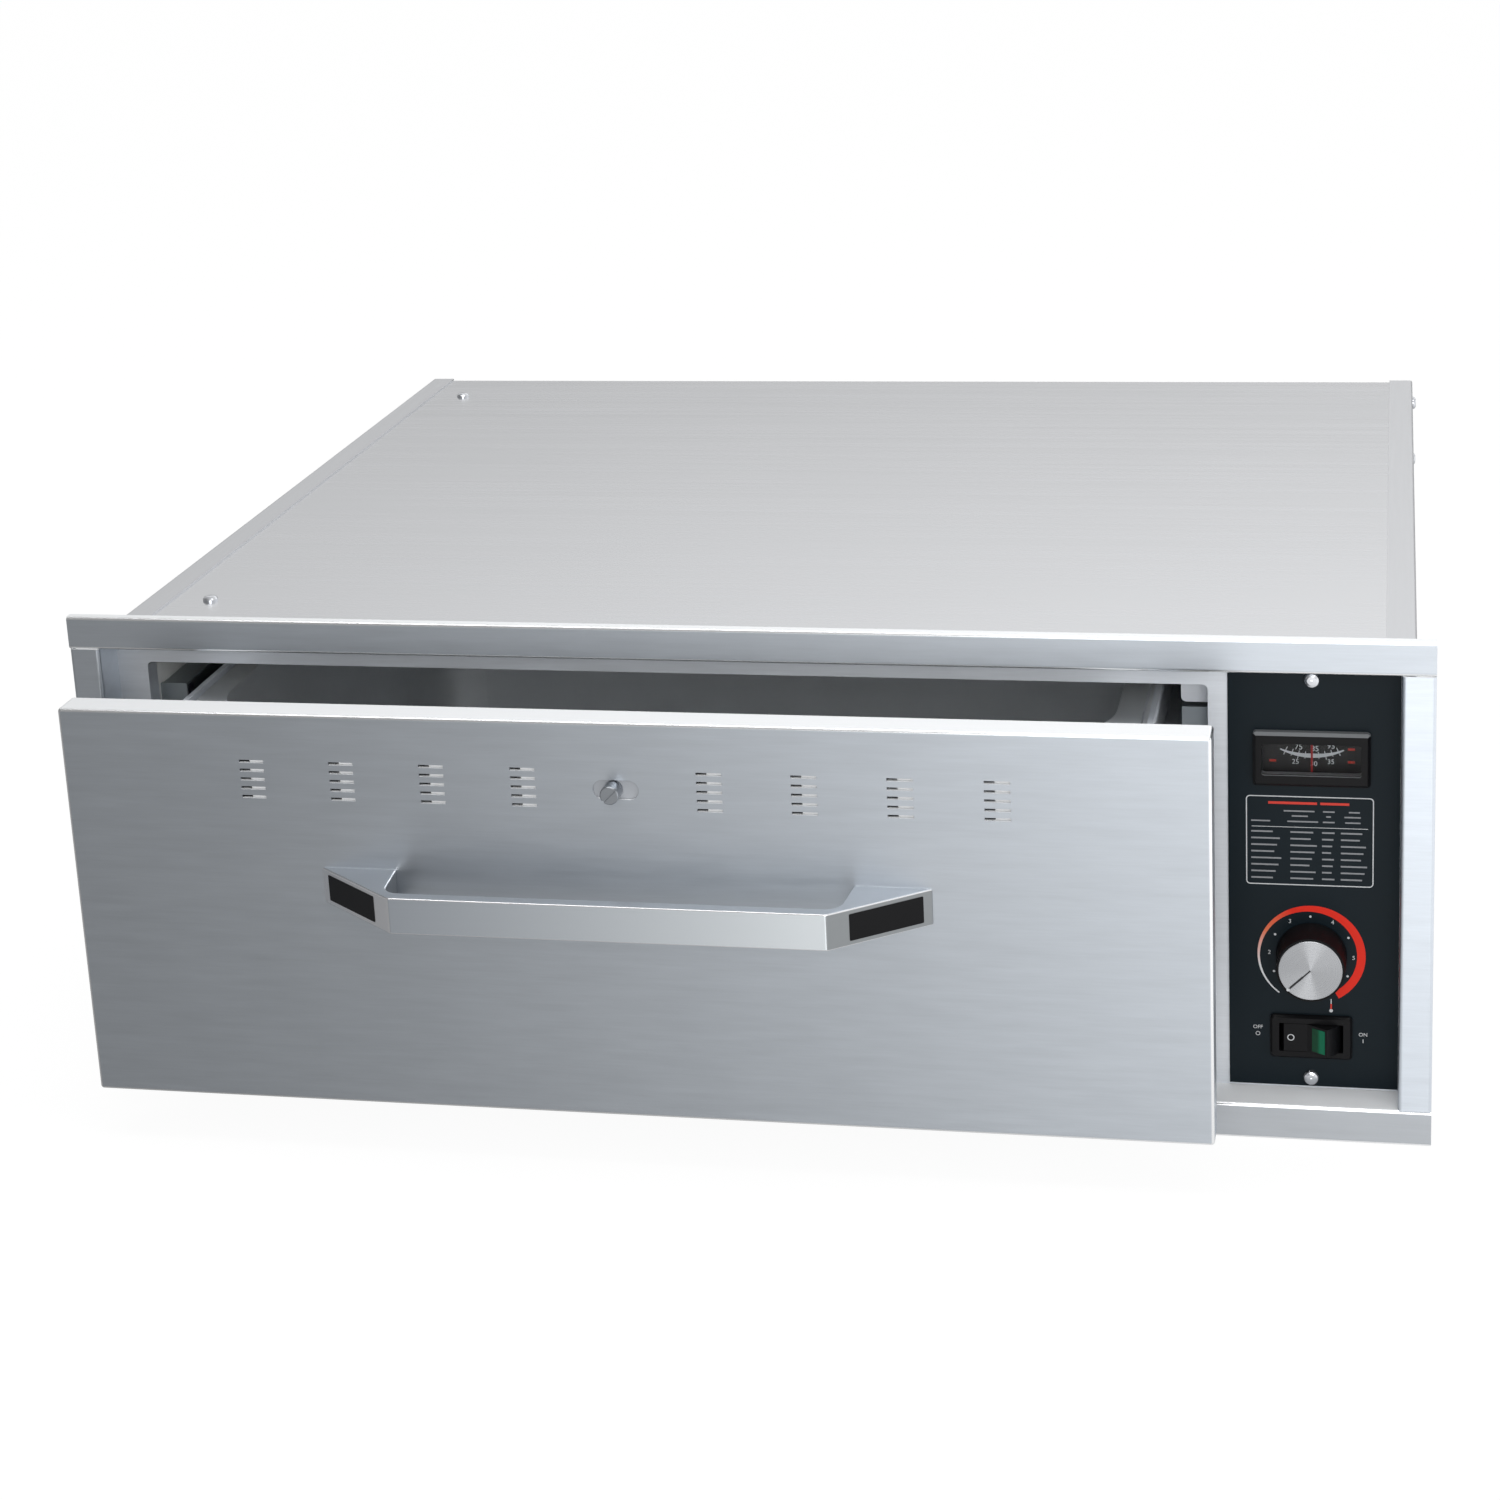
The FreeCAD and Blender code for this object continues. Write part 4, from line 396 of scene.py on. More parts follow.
def folded(name, color, roughness, spread=0.0, corner=0.0, **finish):
    """Level-brushed sheet whose bends get a painted highlight, a near-white tone with lower roughness,
    and whose folds that face upward get painted light, a pale tone with high roughness."""
    material = brushed(name, color, level_strokes, roughness=roughness, spread=spread, **finish)
    tree = material.node_tree
    shader = tree.nodes["Principled BSDF"]
    grain = tree.nodes["Group"]
    masks = add_node(tree, "ShaderNodeGroup", node_tree=fold_masks, inputs={"Corner": corner})
    painted_bend_highlight = toward(tree, painted_bend_highlight_tone)
    smooth = add_node(tree, "ShaderNodeMix", data_type="FLOAT", inputs={3: bend_roughness})
    painted_top_light = toward(tree, painted_top_light_tone)
    top_face_rough = add_node(tree, "ShaderNodeMix", data_type="FLOAT", inputs={3: top_face_roughness})
    wire(tree, (masks, "Bend", painted_bend_highlight, "Fac"), (grain, "Color", painted_bend_highlight, "Color1"),
         (masks, "Bend", smooth, 0), (grain, "Roughness", smooth, 2), (masks, "Level", painted_top_light, "Fac"),
         (painted_bend_highlight, "Color", painted_top_light, "Color1"), (painted_top_light, "Color", shader, "Base Color"),
         (masks, "Level", top_face_rough, 0), (smooth, 0, top_face_rough, 2), (top_face_rough, 0, shader, "Roughness"))
    return material


stainless = (0.565, 0.603, 0.648)
level_steel = folded("level_steel", stainless, roughness=0.40, spread=0.6)
# The right stile and the face panel are lighter copies of the sheet as painted light, and the bottom rail a
# slightly darker copy as painted shade.
stile_steel_painted_light = folded("stile_steel_painted_light", (0.71, 0.76, 0.82), roughness=0.40, spread=0.6)
sill_steel_painted_shade = folded("sill_steel_painted_shade", (0.545, 0.57, 0.60), roughness=0.56, spread=0.3, corner=1.0)
face_steel_painted_light = folded("face_steel_painted_light", (0.84, 0.87, 0.91), roughness=0.56, spread=0.3, corner=1.0)
dress(level_steel, "trim_top_rail", "trim_left_stile")
dress(stile_steel_painted_light, "trim_right_stile")
dress(sill_steel_painted_shade, "trim_bottom_rail")
dress(face_steel_painted_light, "face_panel")

# Tracks and runners: folded zinc-plated strip, dull with use, riveted at the cabinet's mouth.
# White nylon rollers turn on stepped, turned pins there and at the rear ends of the drawer's runners.
# The tracks' dark tone is painted shade, for the shade at the cabinet's mouth.
track_zinc_painted_shade = plated("track_zinc_painted_shade", (0.40, 0.43, 0.44), roughness=0.50)
runner_zinc = plated("runner_zinc", (0.90, 0.92, 0.94), roughness=0.75)
nylon = moulded("nylon", (0.80, 0.79, 0.74), roughness=0.45, spark_scale=900.0, depth=0.01)
dress(track_zinc_painted_shade, "cabinet_track_left", "cabinet_track_right")
dress(runner_zinc, "drawer_runner_left", "drawer_runner_right")
dress(bright_zinc, "front_roller_pins", "rear_roller_pins")
dress(nylon, "front_roller_left", "front_roller_right", "rear_roller_left", "rear_roller_right")

# Food pan and its frame: a deep-drawn satin pan with faint wipe marks, hung by its rim in a frame of
# brushed strip between the runners. The guard over the bulbs is of the same strip.
# The frame's pale tone is partly painted light, lifting the shade in the cavity, and its bends and upward
# folds carry the painted highlight and painted light of the folded sheet.
frame_steel_painted_light = folded("frame_steel_painted_light", (0.80, 0.82, 0.85), roughness=0.55, corner=1.0, contrast=0.06,
                     smudge=0.06)
pan_steel = brushed("pan_steel", (0.84, 0.86, 0.88), (60.0, 60.0, 60.0), contrast=0.04, roughness=0.52,
                    smudge=0.08, depth=0.004, metallic=0.9)
dress(frame_steel_painted_light, "pan_frame", "bulb_guard")
dress(pan_steel, "food_pan")

# Drawer front: a shallow tray of the trim's sheet, folded on all sides, with punched vent slots.
# An inner plate closes it at the back, its near-black tone painted shade for the dark seen through the
# slots.
# The drawer front's bends and upward folds carry the painted highlight and painted light of the folded
# sheet.
front_steel = folded("front_steel", stainless, roughness=0.40, spread=0.6, corner=1.0)
inner_steel_painted_shade = brushed("inner_steel_painted_shade", (0.26, 0.27, 0.28), level_strokes, roughness=0.45)
dress(front_steel, "drawer_front")
dress(inner_steel_painted_shade, "drawer_front_back")

# Damper: a slotted plate with a pale chromate film, sliding between two zinc-plated guides; the
# film's near-white tone is partly painted light, lifting the shade inside the vent slots. Its turned
# steel knob moves it, and within a reach of the knob along x the plate is coloured a darker grey.
plate_film_painted_light = moulded("plate_film_painted_light", (0.96, 0.965, 0.97), roughness=0.55, spark_scale=60.0, depth=0.002)
tree = plate_film_painted_light.node_tree
shader = tree.nodes["Principled BSDF"]
film = shader.inputs["Base Color"].links[0].from_node
place = add_node(tree, "ShaderNodeTexCoord")
along = add_node(tree, "ShaderNodeSeparateXYZ")
knob_low, knob_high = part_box("damper_knob")
knob_x = (knob_low.x + knob_high.x) / 2
darker_reach = 0.018
film_reach = 0.024
# Within a reach of the knob along x the plate's colour turns a darker grey.
aside = add_node(tree, "ShaderNodeMath", operation="SUBTRACT", inputs={1: knob_x})
apart = add_node(tree, "ShaderNodeMath", operation="ABSOLUTE")
near = smooth_step(tree, darker_reach, film_reach, 1.0, 0.0)
darker_near_knob = toward(tree, (0.42, 0.44, 0.47))
wire(tree, (place, "Object", along, "Vector"), (along, "X", aside, 0), (aside, 0, apart, 0),
     (apart, 0, near, "Value"), (near, "Result", darker_near_knob, "Fac"), (film, "Color", darker_near_knob, "Color1"),
     (darker_near_knob, "Color", shader, "Base Color"))
dress(plate_film_painted_light, "damper_plate")
dress(strip_zinc, "damper_guides")
dress(bright_zinc, "damper_nut")
dress(plated("turned_steel", (0.40, 0.42, 0.44), roughness=0.28), "damper_knob")

# Handle: a cast bar with two sloping ends, screwed on from behind and brushed along its length.
# Its colour is painted paler toward the right as painted light, its edges get a painted highlight,
# the left-facing end a pale painted highlight and the right-facing end a dark painted shade; its
# upward faces keep a plain tone, and bare black plates fill the ends.
bar_low, bar_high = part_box("handle")
painted_light_from = bar_low.x + 0.05
painted_light_to = bar_high.x - 0.06
handle_steel = brushed("handle_steel", (0.60, 0.645, 0.70), (9.0, 1400.0, 1400.0), contrast=0.05,
                       roughness=0.36, depth=0.003, spread=0.85)
tree = handle_steel.node_tree
shader = tree.nodes["Principled BSDF"]
grain = tree.nodes["Group"]
place = add_node(tree, "ShaderNodeTexCoord")
along = add_node(tree, "ShaderNodeSeparateXYZ")
painted_light_ramp = add_node(tree, "ShaderNodeMapRange", inputs={"From Min": painted_light_from, "From Max": painted_light_to})
# Painted light: paler toward the right, then a pale painted highlight on left-facing ends, a dark painted
# shade on right-facing ends and a painted highlight on the edges.
fine = toward(tree, (0.92, 0.97, 1.0))
facing = add_node(tree, "ShaderNodeNewGeometry")
turned = add_node(tree, "ShaderNodeSeparateXYZ")
left_end = smooth_step(tree, -0.25, -0.10, 0.9, 0.0)
painted_end_highlight = toward(tree, (0.98, 0.98, 1.0))
right_end = smooth_step(tree, 0.10, 0.25, 0.0, 0.74)
painted_end_shade = toward(tree, (0.10, 0.105, 0.11))
masks = add_node(tree, "ShaderNodeGroup", node_tree=fold_masks, inputs={"Corner": 0.0})
upper = toward(tree, (0.60, 0.64, 0.69))
painted_edge_highlight = toward(tree, (0.98, 0.98, 0.99))
smooth = add_node(tree, "ShaderNodeMix", data_type="FLOAT", inputs={3: 0.20})
wire(tree, (place, "Object", along, "Vector"), (along, "X", painted_light_ramp, "Value"),
     (painted_light_ramp, "Result", fine, "Fac"), (grain, "Color", fine, "Color1"), (facing, "Normal", turned, "Vector"),
     (turned, "X", left_end, "Value"), (left_end, "Result", painted_end_highlight, "Fac"), (fine, "Color", painted_end_highlight, "Color1"),
     (turned, "X", right_end, "Value"), (right_end, "Result", painted_end_shade, "Fac"),
     (painted_end_highlight, "Color", painted_end_shade, "Color1"), (masks, "Level", upper, "Fac"), (painted_end_shade, "Color", upper, "Color1"),
     (masks, "Bend", painted_edge_highlight, "Fac"), (upper, "Color", painted_edge_highlight, "Color1"), (painted_edge_highlight, "Color", shader, "Base Color"),
     (masks, "Bend", smooth, 0), (grain, "Roughness", smooth, 2), (smooth, 0, shader, "Roughness"))
plain_black = (0.006, 0.006, 0.007)
insert_black = moulded("insert_black", plain_black, roughness=0.30, spark_scale=1500.0, depth=0.005,
                       gleam=0.15)
dress(handle_steel, "handle")
dress(insert_black, "handle_inserts")


# Control panel: a steel plate with a satin blue-black enamel, faintly pebbled, held by two screws.
# White, grey and red inks are screened on it, and each printed shape is a film just proud of it.
def ink(name, color):
    """Screen ink: its colour with the slight mottle of a printed film."""
    material, tree, shader = shiny(name, 0.0, Roughness=0.45)
    thin = [part * 0.8 for part in color]
    place = add_node(tree, "ShaderNodeTexCoord")
    mottle = add_node(tree, "ShaderNodeTexNoise", inputs={"Scale": 1800.0, "Detail": 2.0})
    tone = add_node(tree, "ShaderNodeMixRGB", inputs={"Color1": (*thin, 1), "Color2": (*color, 1)})
    wire(tree, (place, "Object", mottle, "Vector"), (mottle, "Fac", tone, "Fac"),
         (tone, "Color", shader, "Base Color"))
    return material


panel_enamel = moulded("panel_enamel", (0.0030, 0.0098, 0.0150), roughness=0.42, spark_scale=700.0,
                       depth=0.012, gleam=0.2)
dress(panel_enamel, "control_panel")
white_ink = ink("white_ink", (0.74, 0.76, 0.78))
grey_ink = ink("grey_ink", (0.30, 0.31, 0.33))
red_ink = ink("red_ink", (0.80, 0.04, 0.02))
film_proud = 0.00006
ink_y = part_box("control_panel")[0].y - film_proud


# Settings label above the knob: a blank printed form in a rounded outline.
# It has two heading bars, dashes as column heads, a rule, and eight rows of four dashes.
def surface(name, grid, material, body, closed_rows=False, flip=False):
    """A mesh over a rows by columns array of points: each face joins four neighbours, and the last row
    may join the first. With flip the faces point the other way."""
    rows, columns = grid.shape[:2]
    index = np.arange(rows * columns).reshape(rows, columns)
    if closed_rows:
        index = np.vstack([index, index[:1]])
    quads = np.stack([index[:-1, :-1], index[:-1, 1:], index[1:, 1:], index[1:, :-1]], axis=-1)
    quads = quads.reshape(-1, 4)
    if flip:
        quads = quads[:, ::-1]
    mesh = bpy.data.meshes.new(name)
    mesh.from_pydata(grid.reshape(-1, 3).tolist(), [], quads.tolist())
    mesh.materials.append(material)
    piece = bpy.data.objects.new(name, mesh)
    bpy.context.scene.collection.objects.link(piece)
    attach(piece, body)


def bar(name, low, high, material, y):
    """A flat rectangle between two corners in x and z: a grid of its four corners."""
    grid = np.array([[(low[0], y, low[1]), (low[0], y, high[1])],
                     [(high[0], y, low[1]), (high[0], y, high[1])]])
    surface(name, grid, material, "cabinet")


def rounded_frame(name, low, high, corner, line, material, y):
    """A thin outline round a rectangle: points on quarter circles at the corners, the inner ones on a
    radius that is less by the line's width."""
    quarter = np.linspace(0, np.pi / 2, 9)
    middles = [(high[0] - corner, high[1] - corner), (high[0] - corner, low[1] + corner),
               (low[0] + corner, low[1] + corner), (low[0] + corner, high[1] - corner)]
    angle = np.concatenate([quarter + turn * np.pi / 2 for turn in range(4)])[:, None]
    middle = np.repeat(middles, len(quarter), axis=0)
    reach = np.array([[corner - line, corner]])
    grid = np.stack([middle[:, :1] + reach * np.sin(angle), np.full((len(angle), 2), y),
                     middle[:, 1:] + reach * np.cos(angle)], axis=-1)
    surface(name, grid, material, "cabinet", closed_rows=True)


def middle_of(name):
    """The x and the z of the middle of a CAD node's box."""
    low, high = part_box(name)
    return (low.x + high.x) / 2, (low.z + high.z) / 2


dial_x, dial_z = middle_of("knob_body")
form_low = (dial_x - 0.0344, dial_z + 0.0401)
form_high = (dial_x + 0.0324, dial_z + 0.0908)
form_corner = 0.0022
outline_width = 0.00055
rounded_frame("form_outline", form_low, form_high, form_corner, outline_width, white_ink, ink_y)
rule_inset = 0.003
rule_drop = 0.0177
rule_width = 0.0003
bar("form_rule", (form_low[0] + rule_inset, form_high[1] - rule_drop),
    (form_high[0] - rule_inset, form_high[1] - rule_drop + rule_width), white_ink, ink_y)


def dash(name, drop, start, stop, half, material):
    """A bar at a drop below the label's upper edge, from start to stop across it, twice half high."""
    bar(name, (form_low[0] + start, form_high[1] - drop - half),
        (form_low[0] + stop, form_high[1] - drop + half), material, ink_y)


heading_drop = 0.0039
heading_half = 0.0007
head_half = 0.0004
dash("form_heading_0", heading_drop, 0.0117, 0.0372, heading_half, red_ink)
dash("form_heading_1", heading_drop, 0.0389, 0.0540, heading_half, red_ink)
column_heads = [(0.0084, 0.0198, 0.0359), (0.0084, 0.0403, 0.0464), (0.0084, 0.0538, 0.0595),
                (0.0112, 0.0240, 0.0325), (0.0112, 0.0420, 0.0445), (0.0112, 0.0515, 0.0600),
                (0.0143, 0.0027, 0.0127), (0.0143, 0.0217, 0.0378), (0.0143, 0.0403, 0.0464),
                (0.0143, 0.0519, 0.0599)]
for i, (drop, start, stop) in enumerate(column_heads):
    dash(f"form_head_{i}", drop, start, stop, head_half, grey_ink)
first_row = 0.0203
row_pitch = 0.00377
below_row = 0.0005
above_row = 0.0004
shortest_share = 0.72
column_starts = (0.0027, 0.0233, 0.0399, 0.0497)
column_lengths = (0.0158, 0.0139, 0.0065, 0.0137)
for row in range(8):
    for column in range(4):
        share = shortest_share + (1 - shortest_share) * ((row * 5 + column * 3) % 7) / 6
        x = form_low[0] + column_starts[column]
        z = form_high[1] - first_row - row * row_pitch
        bar(f"form_dash_{row}_{column}", (x, z - below_row),
            (x + column_lengths[column] * share, z + above_row), grey_ink, ink_y)


# Thermometer: a black moulded case, snapped into the panel, with a bezel whose upward bevel has a painted
# highlight.
# On its black dial are a white scale that sags in the middle, plain numbers, and red marks and pointer.
def arc_band(name, centre, radius, widths, start, stop, material, y, steps=97):
    """A flat band round a centre from start to stop degrees clockwise from the top: at each step the
    outer edge keeps its radius, and the inner edge lies inside it by a width that runs between the
    given ones."""
    angle = np.radians(np.linspace(start, stop, steps))
    width = np.interp(np.linspace(0, 1, steps), np.linspace(0, 1, len(widths)), widths)
    radii = np.stack([radius - width, np.full(steps, radius)], axis=1)
    grid = np.stack([centre[0] + radii * np.sin(angle)[:, None], np.full((steps, 2), y),
                     centre[1] + radii * np.cos(angle)[:, None]], axis=-1)
    surface(name, grid, material, "cabinet")


def stroke(name, centre, angle, near, far, thickness, material, y, body="cabinet"):
    """A flat bar along a ray from a centre, its angle in degrees clockwise from the top: the points at
    its near and its far reach, moved aside by half its thickness to both sides."""
    along = np.array([math.sin(math.radians(angle)), math.cos(math.radians(angle))])
    aside = np.array([[-1.0], [1.0]]) * np.array([along[1], -along[0]]) * thickness / 2
    flat = np.array(centre) + np.array([near, far])[:, None, None] * along + aside
    grid = np.stack([flat[..., 0], np.full((2, 2), y), flat[..., 1]], axis=-1)
    surface(name, grid, material, body, flip=True)


def around(centre, reach, angle):
    """The point at a reach from a centre, at an angle in degrees clockwise from the top."""
    turn = math.radians(angle)
    return centre[0] + reach * math.sin(turn), centre[1] + reach * math.cos(turn)


def lettering(name, words, centre, height, material, y):
    """Numbers or ON and OFF in the plain built-in face, made a mesh and set on the panel, facing
    forward. The mesh is scaled so that its letters have the given height."""
    curve = bpy.data.curves.new(name, "FONT")
    curve.body = words
    curve.size = height
    curve.align_x = "CENTER"
    curve.align_y = "CENTER"
    curve.resolution_u = 4
    draft = bpy.data.objects.new(name + "_draft", curve)
    bpy.context.scene.collection.objects.link(draft)
    finished = draft.evaluated_get(bpy.context.evaluated_depsgraph_get())
    mesh = bpy.data.meshes.new_from_object(finished)
    bpy.data.objects.remove(draft)
    mesh.name = name
    heights = [vertex.co.y for vertex in mesh.vertices]
    rise = max(heights) - min(heights)
    mesh.transform(Matrix.Translation((centre[0], y, centre[1])) @ Matrix.Rotation(math.pi / 2, 4, "X")
                   @ Matrix.Scale(height / rise, 4))
    mesh.materials.clear()
    mesh.materials.append(material)
    piece = bpy.data.objects.new(name, mesh)
    bpy.context.scene.collection.objects.link(piece)
    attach(piece, "cabinet")


bezel_plastic = moulded("bezel_plastic", plain_black, roughness=0.34, spark_scale=2600.0, depth=0.012,
                        gleam=0.18)
tree = bezel_plastic.node_tree
shader = tree.nodes["Principled BSDF"]
moulding = shader.inputs["Base Color"].links[0].from_node
# A pale grey on faces that look up is a painted highlight on the bezel's upper bevel.
facing = add_node(tree, "ShaderNodeNewGeometry")
turned = add_node(tree, "ShaderNodeSeparateXYZ")
upper = smooth_step(tree, 0.25, 0.5)
painted_bevel_highlight = toward(tree, (0.26, 0.27, 0.28))
wire(tree, (facing, "Normal", turned, "Vector"), (turned, "Z", upper, "Value"),
     (upper, "Result", painted_bevel_highlight, "Fac"), (moulding, "Color", painted_bevel_highlight, "Color1"),
     (painted_bevel_highlight, "Color", shader, "Base Color"))
black_plastic = moulded("black_plastic", plain_black, roughness=0.34, spark_scale=2600.0, depth=0.012,
                        gleam=0.18)
dial_paint = moulded("dial_paint", (0.010, 0.010, 0.012), roughness=0.5, spark_scale=900.0, depth=0.004)
pointer_paint = ink("pointer_paint", (0.50, 0.02, 0.02))
scale_ink = ink("scale_ink", (0.90, 0.95, 1.0))
dress(bezel_plastic, "thermometer_bezel")
dress(black_plastic, "thermometer_case")
dress(dial_paint, "thermometer_dial")
dress(pointer_paint, "thermometer_pointer")
window_z = middle_of("thermometer_lens")[1]
face_x = middle_of("thermometer_dial")[0]
face_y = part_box("thermometer_dial")[0].y - film_proud
pivot = (face_x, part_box("thermometer_pointer")[1].z - 0.004)
scale_reach = pivot[1] - window_z + 0.0012
scale_widths = [0.0007, 0.0018, 0.0025, 0.0018, 0.0007]
tick_start = scale_reach - 0.0022
tick_stops = (scale_reach + 0.0026, scale_reach + 0.0017)
tick_width = 0.0004
arc_band("scale_line", pivot, scale_reach + 0.001, scale_widths, 151, 209, scale_ink, face_y)
for i, angle in enumerate(np.linspace(156, 204, 9)):
    stroke(f"scale_tick_{i}", pivot, angle, tick_start, tick_stops[i % 2], tick_width, scale_ink, face_y)
upper_reach = scale_reach - 0.0040
upper_height = 0.0030
for number, angle in (("75", 193.5), ("85", 177.0), ("95", 160.5)):
    spot = around(pivot, upper_reach, angle)
    lettering("scale_upper_" + number, number, spot, upper_height, scale_ink, face_y)
lower_reach = scale_reach + 0.0044
lower_height = 0.0027
for number, angle in (("25", 193.0), ("30", 178.5), ("35", 165.0)):
    spot = around(pivot, lower_reach, angle)
    lettering("scale_lower_" + number, number, spot, lower_height, scale_ink, face_y)
unit_half = (0.0018, 0.0006)
for i, (x, z) in enumerate(((-0.0205, -0.0042), (0.0205, 0.0030), (0.0205, -0.0042))):
    bar(f"unit_mark_{i}", (face_x + x - unit_half[0], window_z + z - unit_half[1]),
        (face_x + x + unit_half[0], window_z + z + unit_half[1]), red_ink, face_y)

# Lens of the thermometer: clear moulded acrylic, held by the bezel in front of the dial.
# Wiping has left it a little less glossy in cloudy patches.
acrylic, tree, shader = shiny("acrylic", 0.0, Transmission_Weight=1.0, IOR=1.15)
place = add_node(tree, "ShaderNodeTexCoord")
wipe = add_node(tree, "ShaderNodeTexNoise", inputs={"Scale": 60.0, "Detail": 3.0})
gloss = add_node(tree, "ShaderNodeMapRange", inputs={"To Min": 0.02, "To Max": 0.07})
wire(tree, (place, "Object", wipe, "Vector"), (wipe, "Fac", gloss, "Value"),
     (gloss, "Result", shader, "Roughness"))
dress(acrylic, "thermometer_lens")


# Thermostat dial print: a band that widens and turns from white to red as the setting rises.
# Plain numbers and dots stand inside it, and a small thermometer mark hangs under it.
def disc(name, centre, radius, material, y, body="cabinet"):
    """A round spot: equal turns round a centre, each with a point at the edge and one at the middle,
    where a hair's breadth keeps the points apart."""
    steps = 24
    hair = 1e-6
    turn = np.linspace(0, 2 * np.pi, steps, endpoint=False)[:, None]
    reach = np.array([[0.0, 1.0]]) * radius + hair
    grid = np.stack([centre[0] + reach * np.sin(turn), np.full((steps, 2), y),
                     centre[1] + reach * np.cos(turn)], axis=-1)
    surface(name, grid, material, body, closed_rows=True)


heat_ink, tree, shader = shiny("heat_ink", 0.0, Roughness=0.5, Specular_IOR_Level=0.2)
place = add_node(tree, "ShaderNodeTexCoord")
centred = add_node(tree, "ShaderNodeMapping")
centred.inputs["Location"].default_value = (-dial_x, 0, -dial_z)
parts = add_node(tree, "ShaderNodeSeparateXYZ")
turned = add_node(tree, "ShaderNodeMath", operation="ARCTAN2")
spread = add_node(tree, "ShaderNodeMapRange", inputs={"From Min": -2.5, "From Max": 2.5})
ramp = add_node(tree, "ShaderNodeValToRGB")
ramp.color_ramp.elements[0].position = 0.13
ramp.color_ramp.elements[0].color = (0.74, 0.76, 0.78, 1)
ramp.color_ramp.elements[1].position = 0.42
ramp.color_ramp.elements[1].color = (0.84, 0.032, 0.016, 1)
ramp.color_ramp.elements.new(0.29).color = (0.84, 0.20, 0.09, 1)
wire(tree, (place, "Object", centred, "Vector"), (centred, "Vector", parts, "Vector"),
     (parts, "X", turned, 0), (parts, "Z", turned, 1), (turned, "Value", spread, "Value"),
     (spread, "Result", ramp, "Fac"), (ramp, "Color", shader, "Base Color"))
dial = (dial_x, dial_z)
band_radius = 0.0286
band_widths = [0.0007, 0.0012, 0.0022, 0.0036, 0.0044, 0.0045, 0.0045]
arc_band("dial_band", dial, band_radius, band_widths, -143.0, 149.5, heat_ink, ink_y)
mark_radius = 0.0223
number_height = 0.0023
dot_radius = 0.00065
for number, angle in zip("2345", (-88.0, -30.6, 30.0, 92.0)):
    spot = around(dial, mark_radius, angle)
    lettering("dial_number_" + number, number, spot, number_height, white_ink, ink_y)
for i, angle in enumerate((-117.0, -59.5, -1.5, 61.0, 121.0)):
    disc(f"dial_dot_{i}", around(dial, mark_radius, angle), dot_radius, white_ink, ink_y)
stem_x = dial_x + 0.0105
stem_top = dial_z - 0.0280
bar("mark_tip", (stem_x - 0.00025, stem_top), (stem_x + 0.00025, dial_z - 0.0252), white_ink, ink_y)
bar("mark_stem", (stem_x - 0.0004, dial_z - 0.0312), (stem_x + 0.0004, stem_top), red_ink, ink_y)
disc("mark_bulb", (stem_x, dial_z - 0.0320), 0.0010, white_ink, ink_y)

# Thermostat: a moulded body behind the panel, with a plated nut and spindle.
# Its knob is moulded too, with a spun aluminium cap pressed on: turning marks run round the cap and
# throw the light into two fans, and a painted line with a dot at its end shows the setting.
dress(black_plastic, "thermostat_body")
dress(bright_zinc, "thermostat_nut", "thermostat_spindle")
knob_plastic = moulded("knob_plastic", (0.007, 0.007, 0.008), roughness=0.50, spark_scale=2600.0,
                       depth=0.012, gleam=0.12)
dress(knob_plastic, "knob_body")
spun, tree, shader = shiny("spun_aluminium", 1.0, Anisotropic=0.96, Anisotropic_Rotation=0.25)
place = add_node(tree, "ShaderNodeTexCoord")
centred = add_node(tree, "ShaderNodeMapping")
centred.inputs["Location"].default_value = (-dial_x, 0, -dial_z)
flat = add_node(tree, "ShaderNodeVectorMath", operation="MULTIPLY")
flat.inputs[1].default_value = (1, 0, 1)
rings = add_node(tree, "ShaderNodeVectorMath", operation="LENGTH")
cuts = add_node(tree, "ShaderNodeTexNoise", noise_dimensions="1D", inputs={"Scale": 4200.0, "Detail": 2.0})
tone = add_node(tree, "ShaderNodeMixRGB",
                inputs={"Color1": (0.40, 0.41, 0.43, 1), "Color2": (0.58, 0.59, 0.61, 1)})
gloss = add_node(tree, "ShaderNodeMapRange", inputs={"To Min": 0.22, "To Max": 0.32})
tangent = add_node(tree, "ShaderNodeTangent", direction_type="RADIAL", axis="Y")
wire(tree, (place, "Object", centred, "Vector"), (centred, "Vector", flat, 0), (flat, 0, rings, 0),
     (rings, "Value", cuts, "W"), (cuts, "Fac", tone, "Fac"), (cuts, "Fac", gloss, "Value"),
     (tone, "Color", shader, "Base Color"), (gloss, "Result", shader, "Roughness"),
     (tangent, "Tangent", shader, "Tangent"))
dress(spun, "knob_cap")
cap_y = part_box("knob_cap")[0].y
line_y = cap_y - 0.00008
dot_y = cap_y - 0.00012
setting_angle = -134.0
line_length = 0.0150
line_width = 0.0008
line_paint = ink("line_paint", (0.015, 0.016, 0.018))
dot_place = around(dial, 0.0162, setting_angle)
dot_size = 0.0009
stroke("knob_line", dial, setting_angle, 0.0, line_length, line_width, line_paint, line_y,
       body="thermostat_knob")
disc("knob_dot", dot_place, dot_size, white_ink, dot_y, body="thermostat_knob")


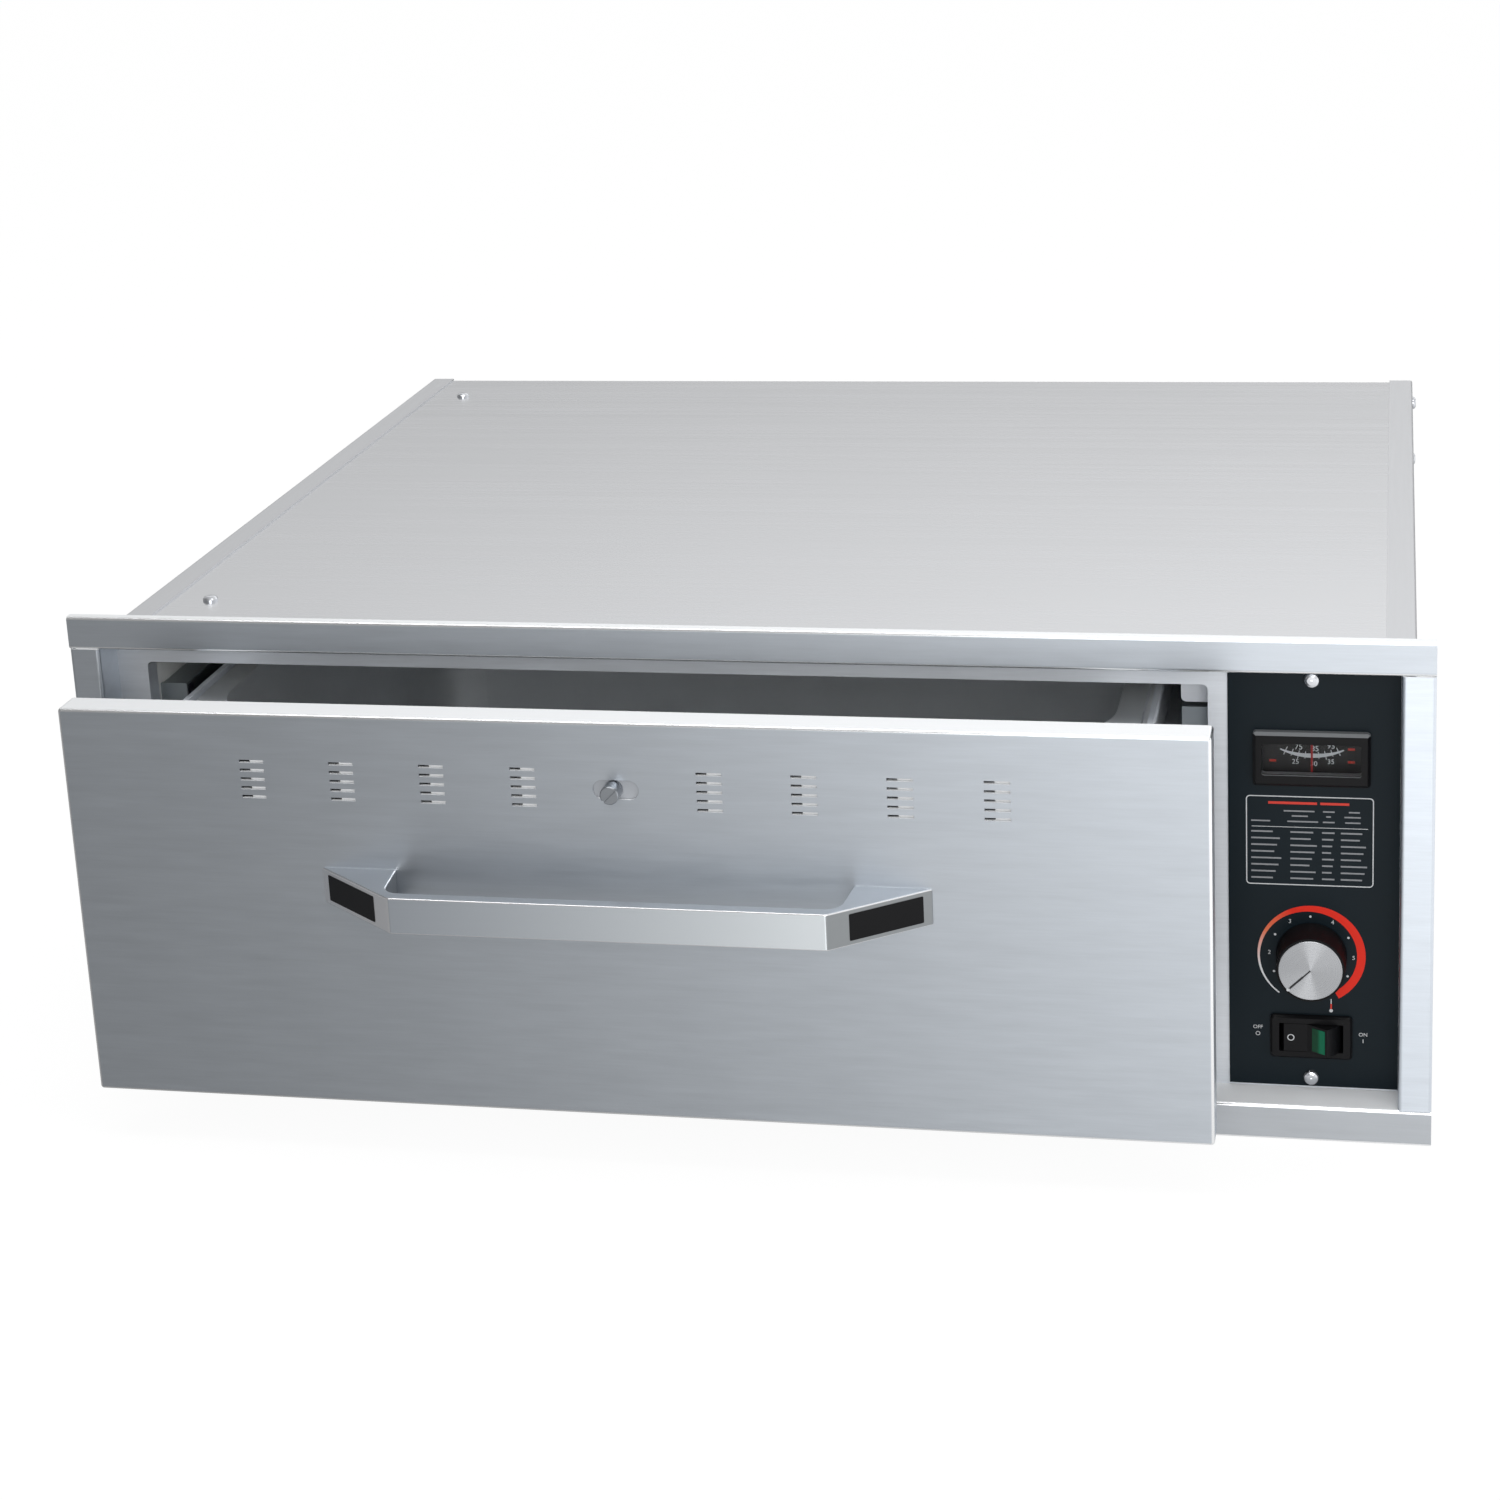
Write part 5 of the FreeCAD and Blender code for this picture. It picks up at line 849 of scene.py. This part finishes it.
# Power switch: a black moulded body snapped into the panel, and a rocker with a green pilot lens.
# OFF and a ring are printed at its left, ON and a bar at its right, and a ring on the rocker's off end.
def tilted_ring(name, aim, radii, proud, material):
    """A flat ring on the rocker's sloping face: points on an inner and an outer circle round the spot
    that a ray from the front meets, spanned by a level line in that face and by the upright."""
    spot, facing = nodes["switch_rocker"].ray_cast(Vector(aim), Vector((0, 1, 0)))[1:3]
    upright = Vector((0, 0, 1))
    sideways = facing.cross(upright).normalized()
    turn = np.linspace(0, 2 * np.pi, 40, endpoint=False)[:, None]
    reach = np.array([radii])
    grid = (np.array(spot + facing * proud) - (reach * np.sin(turn))[..., None] * np.array(sideways)
            + (reach * np.cos(turn))[..., None] * np.array(upright))
    surface(name, grid, material, "power_rocker", closed_rows=True)


dress(black_plastic, "switch_body", "switch_rocker")
switch_x, switch_z = middle_of("switch_body")
off_x = switch_x - 0.0285
on_x = switch_x + 0.0275
word_height = 0.0021
ring_place = (off_x, switch_z + 0.0002)
lettering("off_word", "OFF", (off_x, switch_z + 0.0040), word_height, white_ink, ink_y)
arc_band("off_ring", ring_place, 0.0012, [0.0003, 0.0003], 0, 360, white_ink, ink_y, steps=33)
lettering("on_word", "ON", (on_x, switch_z + 0.0018), word_height, white_ink, ink_y)
bar("on_bar", (on_x - 0.0002, switch_z - 0.0030), (on_x + 0.0002, switch_z - 0.0008), white_ink,
    ink_y)
rocker_aim = (switch_x - 0.0108, -1, switch_z)
ring_radii = (0.0014, 0.0019)
ring_proud = 0.00008
tilted_ring("rocker_ring", rocker_aim, ring_radii, ring_proud, white_ink)

# Pilot lens: a clear green moulding let into the rocker, darker over its ribbed left edge.
# It has no lamp of its own here, because the switch stands at OFF.
green, tree, shader = shiny("green_lens", 0.0, Roughness=0.22, Specular_IOR_Level=0.25)
lens_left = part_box("switch_lens")[0].x
place = add_node(tree, "ShaderNodeTexCoord")
along = add_node(tree, "ShaderNodeSeparateXYZ")
ribs = smooth_step(tree, lens_left + 0.0025, lens_left + 0.0045)
tone = add_node(tree, "ShaderNodeMixRGB",
                inputs={"Color1": (0.0, 0.055, 0.022, 1), "Color2": (0.0, 0.16, 0.075, 1)})
wire(tree, (place, "Object", along, "Vector"), (along, "X", ribs, "Value"),
     (ribs, "Result", tone, "Fac"), (tone, "Color", shader, "Base Color"))
dress(green, "switch_lens")
